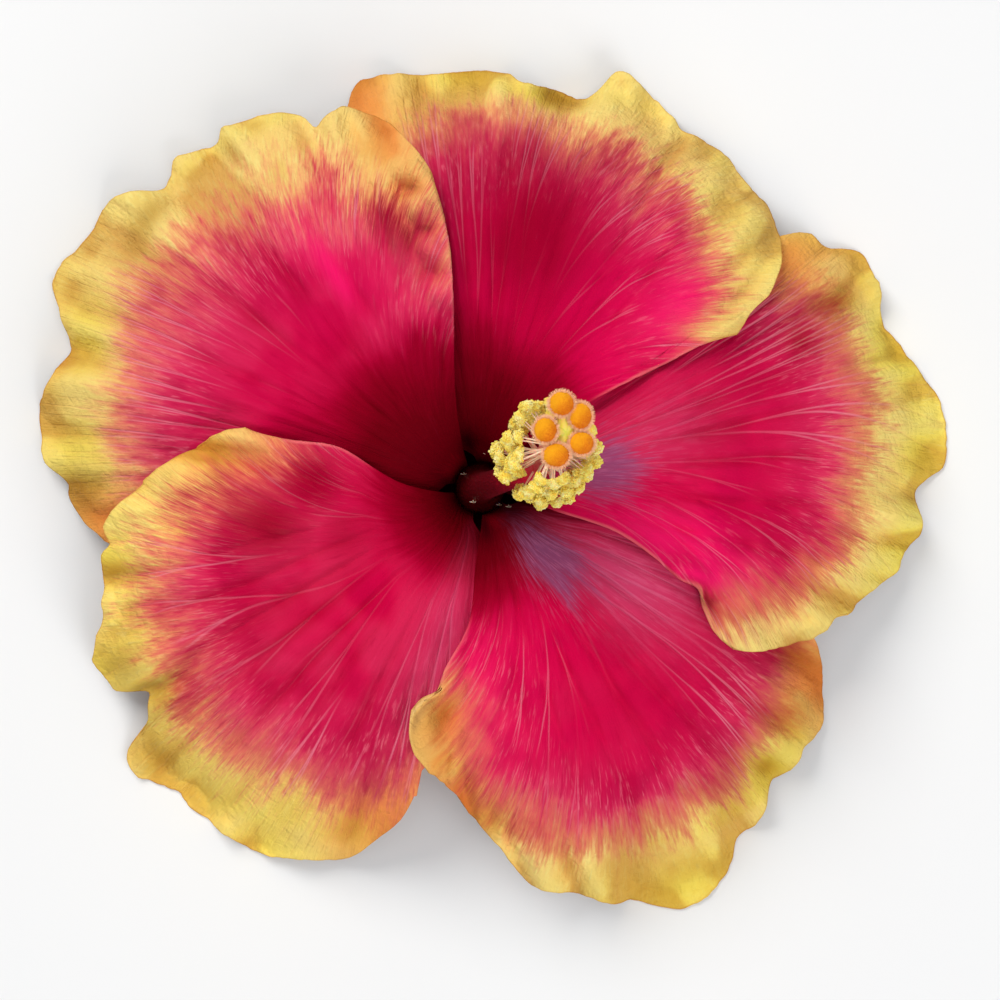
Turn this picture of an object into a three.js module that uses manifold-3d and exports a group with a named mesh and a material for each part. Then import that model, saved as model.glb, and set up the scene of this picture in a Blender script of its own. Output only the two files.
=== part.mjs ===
// A hibiscus flower, picked just under its calyx and lying face up on a flat surface.
// Millimetres, +Z up. z = 0 is the surface, which the drooping tips of the petals touch.
// Bearings are degrees anticlockwise from +X, seen from above, round the flower's own axis.
// "Along" is a distance measured up the petal from its claw, "out" a distance from the axis.

import * as THREE from "three";
import { mergeVertices } from "three/addons/utils/BufferGeometryUtils.js";
import Module from "manifold-3d";

const wasm = await Module();
wasm.setup();

// The frame's origin is the middle of the flower's footprint, and the axis stands beside it.
const AXIS = { x: -2.14, y: 0.18 };

const CLEARANCE = 0.3;

// Corolla: the trumpet that all five petals follow, as [along, out, up].
const TRUMPET = [
  [0, 4.6, 6.0],
  [4.5, 4.9, 10.5],
  [9.7, 6.0, 15.3],
  [15.2, 8.6, 20.0],
  [22, 13.8, 24.2],
  [31, 22, 27.3],
  [42, 33, 28.0],
  [54.3, 45, 25.2],
  [67.6, 57, 19.0],
  [80, 67, 10.0],
  [91.8, 75, -1.4],
  [102, 81, -12],
];
const TRUMPET_LENGTH = 102;

// How much wider than the trumpet the bloom is at a bearing, as [bearing, factor].
const WIDENING = [
  [-27, 0.96],
  [7, 1.03],
  [42, 0.95],
  [75, 0.93],
  [110, 0.96],
  [150, 1.04],
  [188, 0.96],
  [215, 0.97],
  [255, 0.93],
  [297, 1.02],
  [333, 0.96],
  [367, 1.03],
];
const WIDENS_FROM = 20;
const WIDENED_BY = 60;

// Each petal lies over its clockwise neighbour, by a gap that grows up the petal: [along, gap].
const PETAL_PITCH = 72;
const STACK_GAP = [
  [0, 0.4],
  [8, 0.9],
  [16, 1.6],
  [30, 2.2],
  [55, 2.8],
  [100, 3.2],
];
const PETAL_THICKNESS = 0.7;
const TABLE_BEND = 1.2;
const TABLE_PRESS = 0.12;

// The five petals. "over" and "under" are the side edges, as [along, bearing]: the clockwise
// edge lies on the neighbour, the other is tucked beneath the next petal. "rim" is the free
// margin, as [bearing, out]. "folds" are swellings and dips, as
// [bearing, out, spread in degrees, spread in mm, rise].
const PETALS = [
  {
    name: "petal_right",
    bearing: 5,
    over: [[0, -13], [10, -13], [20, -17], [31, -17.7], [43.5, -25], [50, -26], [53.5, -31], [60, -32.3]],
    under: [[0, 28], [7, 31], [13, 50], [20, 53], [50, 53], [60, 51]],
    rim: [
      [-32.3, 48], [-29.6, 54], [-24, 60.5], [-19.7, 63], [-16, 65.5], [-11.5, 69.6], [-8.8, 70.8],
      [-5.8, 73.4], [-1.2, 72], [2.5, 76.8], [7, 78], [11, 77.4], [18.5, 73.8], [23, 72], [28, 74.2],
      [32.2, 73.6], [35.5, 69], [38.7, 67.6], [41, 64], [45, 59], [51, 51],
    ],
    folds: [
      [-22, 36, 4, 6, 2.0], [-28, 43, 3, 4, -1.0], [-31, 50, 4, 7, 1.5], [-18.5, 64, 2.5, 7, -1.5],
      [-9, 71, 2, 7, -1.8], [-4.5, 74, 2, 6, 1.5], [-0.5, 72.5, 2, 7, -1.6], [7, 78, 4, 9, -0.6],
      [23.5, 72, 2.8, 12, -2.4], [31, 74, 3, 9, 1.6],
    ],
  },
  {
    name: "petal_top",
    bearing: 77,
    over: [[0, 48], [10, 47], [20, 42], [33, 37], [44, 33.7], [52, 32.5], [58, 30.6]],
    under: [[0, 98], [7, 101], [13, 119], [20, 121], [50, 121], [60, 119]],
    rim: [
      [30.6, 48], [33.1, 53.2], [35.5, 59.6], [38, 62.7], [44.4, 65.6], [53, 68.3], [60.6, 67.8],
      [65.6, 70.3], [70.5, 72], [73.4, 68.6], [76, 66.6], [80, 67.2], [84, 67.4], [88, 69.1],
      [96.6, 69], [106.4, 70.5], [108.5, 68], [113, 61], [119, 51],
    ],
    folds: [
      [33, 50, 4, 9, 1.6], [62, 68.5, 2.2, 8, -1.2], [70, 66, 3.2, 6, 1.6], [77, 65, 3.4, 7, -2.0],
      [84, 68, 3, 8, 1.8], [95, 69, 4, 9, -1.2], [103, 70, 3, 9, 1.2],
    ],
  },
  {
    name: "petal_upper_left",
    bearing: 149,
    over: [[0, 118], [10, 115], [20, 107], [33, 99.6], [46, 97], [62, 98.7]],
    under: [[0, 171], [7, 174], [13, 191], [20, 196], [50, 199], [60, 198]],
    rim: [
      [98.7, 51.5], [101, 56.5], [104.5, 62.5], [109, 66.2], [113.8, 65.4], [117, 69.8], [122.2, 72],
      [127, 71.2], [133, 74], [136, 72.2], [140.3, 75.9], [146, 77.5], [152.5, 79], [157.2, 75.2],
      [161, 71.9], [169.3, 74.2], [176, 72], [181.3, 68.2], [185.2, 65.4], [188.8, 61.6], [198, 46],
    ],
    folds: [
      [101, 50, 5, 14, 2.2], [98, 34, 4, 10, 1.0], [114, 67, 2.6, 9, -2.6], [120.5, 72, 3.5, 9, 1.6],
      [127.3, 73, 2.2, 9, -2.6], [136, 72, 2.8, 13, -3.0], [143, 70, 3, 6, 1.5], [148, 79, 4, 7, -1.5], [160, 73, 2.4, 12, -2.6],
      [168, 75, 4, 10, 1.4], [180.5, 68, 2.5, 8, -1.2],
    ],
  },
  {
    name: "petal_lower_left",
    bearing: 221,
    over: [[0, 191], [10, 188], [20, 178], [31, 164.5], [40, 166], [46, 166], [49, 165]],
    under: [[0, 256], [7, 259], [13, 274], [20, 277], [30, 277], [38, 272], [47, 265], [57, 258.5]],
    rim: [
      [165, 38.2], [167.7, 42], [171.3, 45.8], [175.6, 50.5], [180.2, 55], [184.6, 60], [188, 61.4],
      [191, 63], [198.9, 65.8], [204.2, 70.2], [208.8, 68.6], [212, 64.8], [215.6, 71.4], [219.5, 74.4],
      [225.3, 71.3], [232, 71], [239.1, 70.6], [246.5, 66.6], [251, 64], [255, 58.5], [258.5, 51],
    ],
    folds: [
      [172, 46, 6, 9, 2.6], [184, 60, 4, 8, 1.8], [194, 65, 3, 8, -1.6], [203, 70, 3, 8, 1.6],
      [211.5, 66, 2.4, 13, -3.2], [218, 70, 2.6, 6, 1.4], [225, 73, 6, 6, -2.5], [227, 71.5, 2.2, 8, -1.6], [237, 71, 4, 8, 1.2],
      [252, 61, 4, 7, -1.5],
    ],
  },
  {
    name: "petal_bottom",
    bearing: 293,
    over: [[0, 276], [10, 273], [20, 267.5], [30, 266], [38, 259], [41.5, 258], [43.5, 255], [47, 252.8]],
    under: [[0, 327], [7, 330], [13, 348], [20, 352], [31, 358], [45, 354], [60, 347]],
    rim: [
      [252.8, 37.2], [254.6, 41.4], [258.6, 45.6], [264.9, 48.6], [269.7, 54.2], [273.5, 59.2],
      [277.7, 66], [284.5, 69.7], [289, 72.6], [293.4, 75.8], [296.5, 77.7], [301, 76.8], [304.5, 74.2],
      [309.3, 71.8], [315, 68.6], [320, 68.8], [326.5, 68], [332.4, 63.5], [336, 60], [341, 54], [347, 46],
    ],
    folds: [
      [262, 31, 3.5, 6, 1.6], [257, 42, 4, 5, 1.2], [268, 57, 6, 6, -2.0], [286, 71, 2.5, 8, 1.3],
      [290, 73, 2, 7, -1.4], [298, 77, 5, 8, -1.8], [308, 72, 2.5, 9, -1.6], [315.5, 68, 2.6, 14, -2.6],
      [328, 67, 5, 10, -1.0],
    ],
  },
];
const RIPPLE = { rise: 0.7, wavelength: 11, reach: 7 };
const PETAL_COLUMNS = 32;
const PETAL_ROWS = 13;

// Staminal column and style: the line they follow out of the throat, as [up, x, y] from the axis.
const COLUMN_LINE = [
  [4, 0, 0],
  [12, 0.2, 0.1],
  [22, 2.5, 0.8],
  [30, 5.3, 1.8],
  [38, 8.4, 3.1],
  [45, 10.5, 4.9],
  [51, 11.9, 6.5],
  [56, 12.9, 8.0],
];
const COLUMN = { foot: 6.4, footRadius: 3.7, top: 51.5, topRadius: 1.75, bore: 1.15 };
const OVARY = { radius: 2.3, height: 5.5 };
const STYLE = { radius: 0.6, top: 54.5 };

// Stamens stand in five loose groups round the upper column.
const STAMEN_GROUPS = [40, 113, 187, 264, 337];
const STAMENS = { each: 12, from: 40.5, to: 50.8, fan: 27, nearest: 4.6, furthest: 7.4, radius: 0.36 };
const ANTHER = { length: 2.3, width: 1.8, depth: 1.6 };

// Stigma pads, each as [x, y, up] from the axis, on branches of the style.
const STIGMA_PADS = [
  [12.4, 12.2, 60.2],
  [15.2, 10.4, 59.6],
  [10.0, 8.3, 60.8],
  [15.4, 6.4, 59.2],
  [11.6, 4.6, 60.4],
];
const STIGMA = { radius: 1.85, flattening: 0.78, branchRadius: 0.42 };

// Calyx wall, as [along, out, up], with five pointed lobes from "sinus" to "tip" along it.
const CALYX = [
  [0, 5.1, 4.3],
  [4, 6.7, 7.4],
  [8, 7.8, 11.2],
  [12, 8.5, 15.0],
  [16, 10.6, 18.0],
  [20, 13.8, 19.9],
  [23, 16.6, 20.6],
];
const CALYX_LOBES = { count: 5, first: 41, sinus: 12, tip: 23, thickness: 0.9 };

// Epicalyx: a ring of narrow bracts under the calyx. The centre line is [along, out, up].
const BRACT_LINE = [
  [0, 3.9, 2.9],
  [3, 6.4, 3.6],
  [7, 9.6, 5.8],
  [11, 12.0, 9.0],
  [14, 13.2, 11.8],
];
const BRACTS = { count: 7, first: 12, length: 14, width: 2.3, thickness: 0.9, steps: 7 };

const PEDICEL = { radius: 1.6, cut: 0.3, top: 5.7, shoulder: 4.2 };

const RADIANS = Math.PI / 180;

// A smooth curve through rows sorted by their first number: the value in a column at x.
function through(rows, x, column = 1) {
  const last = rows.length - 1;
  if (x <= rows[0][0]) return rows[0][column];
  if (x >= rows[last][0]) return rows[last][column];
  let i = 0;
  while (rows[i + 1][0] < x) i++;
  const slope = (j) => {
    const before = rows[Math.max(j - 1, 0)];
    const after = rows[Math.min(j + 1, last)];
    return (after[column] - before[column]) / (after[0] - before[0]);
  };
  const span = rows[i + 1][0] - rows[i][0];
  const t = (x - rows[i][0]) / span;
  const s = 1 - t;
  return (
    rows[i][column] * (1 + 2 * t) * s * s +
    rows[i + 1][column] * (3 - 2 * t) * t * t +
    span * t * s * (slope(i) * s - slope(i + 1) * t)
  );
}

const smooth = (t) => {
  const u = Math.min(Math.max(t, 0), 1);
  return u * u * (3 - 2 * u);
};

const bell = (x) => Math.exp(-x * x);

// A repeatable stream of numbers from 0 to 1.
function drawsFrom(seed) {
  let state = seed;
  return () => {
    state = (state + 0x6d2b79f5) | 0;
    let t = Math.imul(state ^ (state >>> 15), 1 | state);
    t = (t + Math.imul(t ^ (t >>> 7), 61 | t)) ^ t;
    return ((t ^ (t >>> 14)) >>> 0) / 4294967296;
  };
}

// Closed surface between two grids of points, alike split on both faces. Each grid is a list
// of rows; the first faces out. Where the rows close on themselves, wrapped joins their ends.
function closedSheet(outer, inner, wrapped = false) {
  const rows = outer.length;
  const columns = outer[0].length;
  const positions = [...outer.flat(), ...inner.flat()].flatMap((p) => [p.x, p.y, p.z]);
  const at = (i, j) => i * columns + (j % columns);
  const lift = rows * columns;
  const faces = [];
  for (let i = 0; i < rows - 1; i++)
    for (let j = 0; j < (wrapped ? columns : columns - 1); j++) {
      const [a, b, c, d] = [at(i, j), at(i, j + 1), at(i + 1, j + 1), at(i + 1, j)];
      faces.push(a, b, c, a, c, d);
      faces.push(lift + a, lift + c, lift + b, lift + a, lift + d, lift + c);
    }
  const wall = (a, b) => faces.push(a, lift + a, b, b, lift + a, lift + b);
  for (let j = 0; j < (wrapped ? columns : columns - 1); j++) {
    wall(at(0, j), at(0, j + 1));
    wall(at(rows - 1, j + 1), at(rows - 1, j));
  }
  for (let i = 0; i < rows - 1 && !wrapped; i++) {
    wall(at(i + 1, 0), at(i, 0));
    wall(at(i, columns - 1), at(i + 1, columns - 1));
  }
  const geometry = new THREE.BufferGeometry();
  geometry.setAttribute("position", new THREE.Float32BufferAttribute(positions, 3));
  return geometry.setIndex(faces);
}

// Unit normals of a grid of points, from the neighbours of each. A petal's point down.
function gridNormals(grid) {
  const clamp = (i, n) => Math.min(Math.max(i, 0), n - 1);
  return grid.map((row, i) =>
    row.map((_, j) => {
      const up = grid[clamp(i + 1, grid.length)][j].clone().sub(grid[clamp(i - 1, grid.length)][j]);
      const side = row[clamp(j + 1, row.length)].clone().sub(row[clamp(j - 1, row.length)]);
      return side.cross(up).normalize();
    }),
  );
}

// A merged closed geometry as a solid that can be joined or cut.
function solidOf(geometry) {
  const bare = geometry.clone();
  bare.deleteAttribute("normal");
  bare.deleteAttribute("uv");
  const merged = mergeVertices(bare, 1e-4);
  return new wasm.Manifold(
    new wasm.Mesh({
      numProp: 3,
      vertProperties: new Float32Array(merged.attributes.position.array),
      triVerts: new Uint32Array(merged.index.array),
    }),
  );
}

function geometryOf(solid) {
  const mesh = solid.getMesh();
  const geometry = new THREE.BufferGeometry();
  const positions = new Float32Array(mesh.vertProperties);
  geometry.setAttribute("position", new THREE.BufferAttribute(positions, 3));
  return geometry.setIndex(new THREE.BufferAttribute(new Uint32Array(mesh.triVerts), 1));
}

const joined = (geometries) => geometryOf(geometries.map(solidOf).reduce((a, b) => a.add(b)));

// Petals

// Distance from the axis that the trumpet reaches, widened at that bearing.
function trumpetOut(along, bearing) {
  const out = through(TRUMPET, along);
  const turned = ((bearing + 27 + 720) % 360) - 27;
  const widening = through(WIDENING, turned) - 1;
  return out * (1 + widening * smooth((out - WIDENS_FROM) / WIDENED_BY));
}

// The way a petal is moved off the trumpet: square to it in the throat, straight up beyond.
function liftDirection(along) {
  const step = 0.5;
  const rise = through(TRUMPET, along + step, 2) - through(TRUMPET, along - step, 2);
  const run = through(TRUMPET, along + step) - through(TRUMPET, along - step);
  if (rise <= 0) return [0, 1];
  const length = Math.hypot(rise, run);
  return [-rise / length, run / length];
}

// A drooping petal bends along the table where it would pass through it, pressed a little flat.
function aboveTable(up) {
  const lowest = PETAL_THICKNESS / 2 - TABLE_PRESS;
  const depth = up - lowest;
  if (depth >= TABLE_BEND) return up;
  if (depth <= -TABLE_BEND) return lowest;
  return lowest + (depth + TABLE_BEND) ** 2 / (4 * TABLE_BEND);
}

const petalBearing = (petal, across, along) =>
  THREE.MathUtils.lerp(through(petal.over, along), through(petal.under, along), across);

// How far along a petal its rim lies, for a share of the way across.
function rimAlong(petal, across) {
  let low = 0;
  let high = TRUMPET_LENGTH;
  for (let i = 0; i < 40; i++) {
    const middle = (low + high) / 2;
    const bearing = petalBearing(petal, across, middle);
    if (trumpetOut(middle, bearing) < through(petal.rim, bearing)) low = middle;
    else high = middle;
  }
  return low;
}

function petalPoint(petal, across, along, fromRim) {
  const bearing = petalBearing(petal, across, along);
  const out = trumpetOut(along, bearing);
  const stack = (through(STACK_GAP, along) * (petal.bearing - bearing)) / PETAL_PITCH;
  const folds = petal.folds.reduce(
    (sum, [at, reach, turn, spread, rise]) =>
      sum + rise * bell((bearing - at) / turn) * bell((out - reach) / spread),
    0,
  );
  const fade = smooth(across / 0.12) * smooth((1 - across) / 0.25);
  const ripple =
    RIPPLE.rise * fade * bell(fromRim / RIPPLE.reach) * Math.sin((2 * Math.PI * bearing) / RIPPLE.wavelength);
  const lift = stack + folds + ripple;
  const [outward, upward] = liftDirection(along);
  const reach = out + lift * outward;
  const up = aboveTable(through(TRUMPET, along, 2) + lift * upward);
  return new THREE.Vector3(
    reach * Math.cos(bearing * RADIANS),
    reach * Math.sin(bearing * RADIANS),
    up,
  );
}

function petalGeometry(petal) {
  const rims = [];
  for (let j = 0; j <= PETAL_COLUMNS; j++) rims.push(rimAlong(petal, j / PETAL_COLUMNS));
  const middle = [];
  for (let i = 0; i <= PETAL_ROWS; i++) {
    const share = 1 - (1 - i / PETAL_ROWS) ** 1.2;
    middle.push(
      rims.map((rim, j) => petalPoint(petal, j / PETAL_COLUMNS, share * rim, (1 - share) * rim)),
    );
  }
  const normals = gridNormals(middle);
  const face = (side) =>
    middle.map((row, i) =>
      row.map((p, j) => p.clone().addScaledVector(normals[i][j], (side * PETAL_THICKNESS) / 2)),
    );
  const underside = face(1);
  for (const p of underside.flat()) p.z = Math.max(p.z, 0);
  return closedSheet(underside, face(-1));
}

// Column, stamens and pistil

const columnPoint = (up) =>
  new THREE.Vector3(through(COLUMN_LINE, up, 1), through(COLUMN_LINE, up, 2), up);

// Bends a solid that stands on the Z axis so that it follows the column's line.
function bentToColumn(geometry) {
  const positions = geometry.getAttribute("position");
  const place = new THREE.Vector3();
  for (let i = 0; i < positions.count; i++) {
    place.fromBufferAttribute(positions, i);
    const centre = columnPoint(place.z);
    const heading = columnPoint(place.z + 0.5).sub(columnPoint(place.z - 0.5)).normalize();
    const turn = new THREE.Quaternion().setFromUnitVectors(new THREE.Vector3(0, 0, 1), heading);
    const offset = new THREE.Vector3(place.x, place.y, 0).applyQuaternion(turn);
    positions.setXYZ(i, centre.x + offset.x, centre.y + offset.y, centre.z + offset.z);
  }
  return geometry;
}

// A turned solid on the Z axis from a profile of [radius, up].
function turned(profile, sides) {
  const points = profile.map(([radius, up]) => new THREE.Vector2(radius, up));
  return new THREE.LatheGeometry(points, sides).rotateX(Math.PI / 2);
}

// A rod with few sides from one point to another.
function rod(from, to, radius, sides = 4) {
  const heading = to.clone().sub(from);
  const geometry = new THREE.CylinderGeometry(radius, radius, heading.length(), sides, 1);
  const turn = new THREE.Quaternion().setFromUnitVectors(
    new THREE.Vector3(0, 1, 0),
    heading.clone().normalize(),
  );
  const middle = from.clone().add(to).multiplyScalar(0.5);
  return geometry.applyQuaternion(turn).translate(middle.x, middle.y, middle.z);
}

function columnRadius(up) {
  const share = (up - COLUMN.foot) / (COLUMN.top - COLUMN.foot);
  const neck = THREE.MathUtils.lerp(2.25, COLUMN.topRadius, share);
  return neck + (COLUMN.footRadius - neck) * bell((up - COLUMN.foot) / 6);
}

function columnGeometry() {
  const outside = [];
  const steps = 14;
  for (let i = 0; i <= steps; i++) {
    const up = THREE.MathUtils.lerp(COLUMN.foot, COLUMN.top, i / steps);
    outside.push([columnRadius(up), up]);
  }
  const chamber = COLUMN.foot + OVARY.height;
  const inside = [
    [COLUMN.bore, COLUMN.top],
    [COLUMN.bore, 45],
    [COLUMN.bore, 38],
    [COLUMN.bore, 31],
    [COLUMN.bore, 24],
    [COLUMN.bore, 18],
    [COLUMN.bore, chamber + 1.2],
    [OVARY.radius + CLEARANCE, chamber - 1.5],
    [OVARY.radius + CLEARANCE, COLUMN.foot],
  ];
  return bentToColumn(turned([...outside, ...inside, outside[0]], 12));
}

// Filaments with an anther each, in groups, every one sunk into the column's wall.
function stamenGeometries() {
  const draw = drawsFrom(7);
  const pieces = [];
  for (const group of STAMEN_GROUPS)
    for (let i = 0; i < STAMENS.each; i++) {
      const up = THREE.MathUtils.lerp(STAMENS.from, STAMENS.to, (i + draw()) / STAMENS.each);
      const turn = STAMENS.fan * (2 * ((i * 0.618) % 1) - 1) + 5 * (draw() - 0.5);
      const bearing = (group + turn) * RADIANS;
      const side = new THREE.Vector3(Math.cos(bearing), Math.sin(bearing), 0.05 + 0.25 * draw());
      const centre = columnPoint(up);
      const reach = THREE.MathUtils.lerp(STAMENS.nearest, STAMENS.furthest, Math.sqrt(draw()));
      const tip = centre.clone().addScaledVector(side, reach);
      pieces.push(rod(centre.clone().addScaledVector(side, COLUMN.bore + 0.35), tip, STAMENS.radius, 3));
      const anther = new THREE.IcosahedronGeometry(0.5, 0)
        .scale(ANTHER.length, ANTHER.width, ANTHER.depth)
        .rotateX(draw() * Math.PI)
        .rotateZ(bearing + Math.PI / 2 + 0.8 * (draw() - 0.5));
      pieces.push(anther.translate(tip.x, tip.y, tip.z));
    }
  return pieces;
}

// Ovary, style, five branches and their stigma pads, grown as one.
function pistilGeometry() {
  const foot = COLUMN.foot;
  const neck = foot + OVARY.height;
  const steps = [18, 24, 31, 38, 45];
  const profile = [
    [0, foot],
    [OVARY.radius * 0.8, foot],
    [OVARY.radius, foot + 1.5],
    [OVARY.radius * 0.85, neck - 2],
    [STYLE.radius, neck],
    ...steps.map((up) => [STYLE.radius, up]),
    [STYLE.radius, STYLE.top],
    [0, STYLE.top],
  ];
  const fork = columnPoint(STYLE.top - 0.8);
  const pieces = [bentToColumn(turned(profile, 8))];
  for (const place of STIGMA_PADS) {
    const pad = new THREE.Vector3(...place);
    const elbow = fork.clone().lerp(pad, 0.55);
    elbow.z -= 0.5;
    pieces.push(rod(fork, elbow, STIGMA.branchRadius, 5));
    pieces.push(new THREE.OctahedronGeometry(STIGMA.branchRadius * 1.3).translate(...elbow.toArray()));
    pieces.push(rod(elbow, pad, STIGMA.branchRadius, 5));
    const ball = new THREE.SphereGeometry(STIGMA.radius, 10, 7).rotateX(Math.PI / 2);
    pieces.push(ball.scale(1, 1, STIGMA.flattening).translate(pad.x, pad.y, pad.z));
  }
  return joined(pieces);
}

// Calyx, epicalyx and pedicel

function calyxGeometry() {
  const columns = 40;
  const rows = 6;
  const sector = 360 / CALYX_LOBES.count;
  const wall = (side) => {
    const grid = [];
    for (let i = 0; i <= rows; i++) {
      const row = [];
      for (let j = 0; j < columns; j++) {
        const bearing = (360 * j) / columns + CALYX_LOBES.first;
        const fromTip = Math.abs(((360 * j) / columns + sector / 2) % sector - sector / 2) / (sector / 2);
        const edge = THREE.MathUtils.lerp(CALYX_LOBES.tip, CALYX_LOBES.sinus, fromTip ** 0.85);
        const along = (edge * i) / rows;
        const step = 0.5;
        const run = through(CALYX, along + step) - through(CALYX, along - step);
        const rise = through(CALYX, along + step, 2) - through(CALYX, along - step, 2);
        const off = (side * CALYX_LOBES.thickness) / 2 / Math.hypot(run, rise);
        const out = through(CALYX, along) + off * rise;
        const up = through(CALYX, along, 2) - off * run;
        row.push(
          new THREE.Vector3(out * Math.cos(bearing * RADIANS), out * Math.sin(bearing * RADIANS), up),
        );
      }
      grid.push(row);
    }
    return grid;
  };
  return closedSheet(wall(1), wall(-1), true);
}

// A bract: a slim blade, diamond in section, that narrows to a point.
function bractGeometry(bearing) {
  const outward = new THREE.Vector3(Math.cos(bearing), Math.sin(bearing), 0);
  const sideways = new THREE.Vector3(-Math.sin(bearing), Math.cos(bearing), 0);
  const positions = [];
  for (let i = 0; i <= BRACTS.steps; i++) {
    const share = i / BRACTS.steps;
    const along = share * BRACTS.length;
    const centre = outward.clone().multiplyScalar(through(BRACT_LINE, along));
    centre.z = through(BRACT_LINE, along, 2);
    const half = (BRACTS.width / 2) * (0.75 + 0.5 * share) * (1 - share ** 2.5) + 0.18;
    const thick = (BRACTS.thickness / 2) * (1 - 0.6 * share);
    const run = through(BRACT_LINE, along + 0.5) - through(BRACT_LINE, along - 0.5);
    const rise = through(BRACT_LINE, along + 0.5, 2) - through(BRACT_LINE, along - 0.5, 2);
    const away = outward.clone().multiplyScalar(rise).setZ(-run).normalize();
    for (const [s, t] of [[half, 0], [0, thick], [-half, 0], [0, -thick]])
      positions.push(...centre.clone().addScaledVector(sideways, s).addScaledVector(away, t).toArray());
  }
  const faces = [];
  for (let i = 0; i < BRACTS.steps; i++)
    for (let k = 0; k < 4; k++) {
      const [a, b] = [4 * i + k, 4 * i + ((k + 1) % 4)];
      faces.push(a, a + 4, b, b, a + 4, b + 4);
    }
  const last = 4 * BRACTS.steps;
  faces.push(0, 1, 2, 0, 2, 3, last, last + 2, last + 1, last, last + 3, last + 2);
  const geometry = new THREE.BufferGeometry();
  geometry.setAttribute("position", new THREE.Float32BufferAttribute(positions, 3));
  return geometry.setIndex(faces);
}

function epicalyxGeometry() {
  const ring = turned([[3.0, 2.4], [4.3, 2.6], [4.6, 3.3], [3.6, 3.4], [3.0, 2.4]], 21);
  const pieces = [ring];
  for (let i = 0; i < BRACTS.count; i++)
    pieces.push(bractGeometry((BRACTS.first + (360 * i) / BRACTS.count) * RADIANS));
  return joined(pieces);
}

// The cut stalk, which swells into the receptacle that carries every other piece.
function pedicelGeometry() {
  const { radius, cut, top, shoulder } = PEDICEL;
  const profile = [
    [0, cut],
    [radius, cut],
    [radius * 0.95, cut + 1.0],
    [radius * 1.1, cut + 1.9],
    [shoulder * 0.66, cut + 2.9],
    [shoulder * 0.8, cut + 3.4],
    [shoulder, top - 0.9],
    [shoulder * 0.97, top],
    [0, top],
  ];
  return turned(profile, 24);
}

// The flower

const petalColour = 0xc01f4e;
const finishes = {
  petal: new THREE.MeshStandardMaterial({ color: petalColour, roughness: 0.6, metalness: 0 }),
  stamens: new THREE.MeshStandardMaterial({ color: 0xeed05f, roughness: 0.8, metalness: 0 }),
  pistil: new THREE.MeshStandardMaterial({ color: 0xf59a0c, roughness: 0.75, metalness: 0 }),
  green: new THREE.MeshStandardMaterial({ color: 0x6f9440, roughness: 0.65, metalness: 0 }),
};

const flower = new THREE.Group();
const head = new THREE.Group();
head.position.set(AXIS.x, AXIS.y, 0);
flower.add(head);

function place(name, geometry, finish) {
  const mesh = new THREE.Mesh(geometry, finish);
  mesh.name = name;
  head.add(mesh);
}

for (const petal of PETALS) place(petal.name, petalGeometry(petal), finishes.petal);
place("staminal_column", joined([columnGeometry(), ...stamenGeometries()]), finishes.stamens);
place("pistil", pistilGeometry(), finishes.pistil);
place("calyx", calyxGeometry(), finishes.green);
place("epicalyx", epicalyxGeometry(), finishes.green);
place("pedicel", pedicelGeometry(), finishes.green);

export default flower;
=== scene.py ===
# A hibiscus flower, picked under its calyx and lying face up on its drooping petals.
# Lengths are millimetres round the flower's own axis. Bearings are degrees anticlockwise from +X.
# "Along" runs up a petal from its claw, "out" runs away from the axis, "up" is height.
import math

import bpy
import numpy as np
from mathutils import Euler, Matrix, Vector


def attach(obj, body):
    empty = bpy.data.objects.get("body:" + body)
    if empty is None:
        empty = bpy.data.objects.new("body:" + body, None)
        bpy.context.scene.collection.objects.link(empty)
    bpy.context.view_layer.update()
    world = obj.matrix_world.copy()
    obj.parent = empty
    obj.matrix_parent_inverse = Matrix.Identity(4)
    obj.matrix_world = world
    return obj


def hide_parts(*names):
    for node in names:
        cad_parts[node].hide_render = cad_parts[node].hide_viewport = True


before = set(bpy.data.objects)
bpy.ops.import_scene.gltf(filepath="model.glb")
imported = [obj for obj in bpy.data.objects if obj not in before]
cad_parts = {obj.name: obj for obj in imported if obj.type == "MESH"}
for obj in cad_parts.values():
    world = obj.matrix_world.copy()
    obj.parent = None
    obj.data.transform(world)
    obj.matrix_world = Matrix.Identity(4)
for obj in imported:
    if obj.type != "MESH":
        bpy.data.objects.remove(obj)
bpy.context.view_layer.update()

MM = 0.001
AXIS = Vector((-2.14, 0.18, 0.0))
# Takes places in mm round the flower's axis into the scene.
FROM_AXIS = Matrix.Scale(MM, 4) @ Matrix.Translation(AXIS)

# The trumpet that all five petals follow, as (along, out, up).
TRUMPET = [
    (-2.2, 4.0, 4.2), (0, 4.6, 6.0), (4.5, 4.9, 10.5), (9.7, 6.0, 15.3), (15.2, 8.6, 20.0),
    (22, 13.8, 24.2), (31, 22, 27.3), (42, 33, 28.0), (54.3, 45, 25.2), (67.6, 57, 19.0),
    (80, 67, 10.0), (91.8, 75, -1.4), (102, 81, -12),
]

# How much wider than the trumpet the bloom is, as (bearing, factor).
WIDENING = [
    (-27, 0.96), (7, 1.03), (42, 0.95), (75, 0.93), (110, 0.96), (150, 1.04), (188, 0.96),
    (215, 0.97), (255, 0.93), (297, 1.02), (333, 0.96), (367, 1.03),
]
WIDENS_FROM = 20
WIDENED_BY = 60

# Each petal lies over its clockwise neighbour by this gap, as (along, gap).
PETAL_PITCH = 72
STACK_GAP = [(0, 0.4), (8, 0.9), (16, 1.6), (30, 2.2), (55, 2.8), (100, 3.2)]
TABLE_CLEARANCE = 0.3
TABLE_BEND = 5.0
TABLE_LIFT = 0.7

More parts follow.
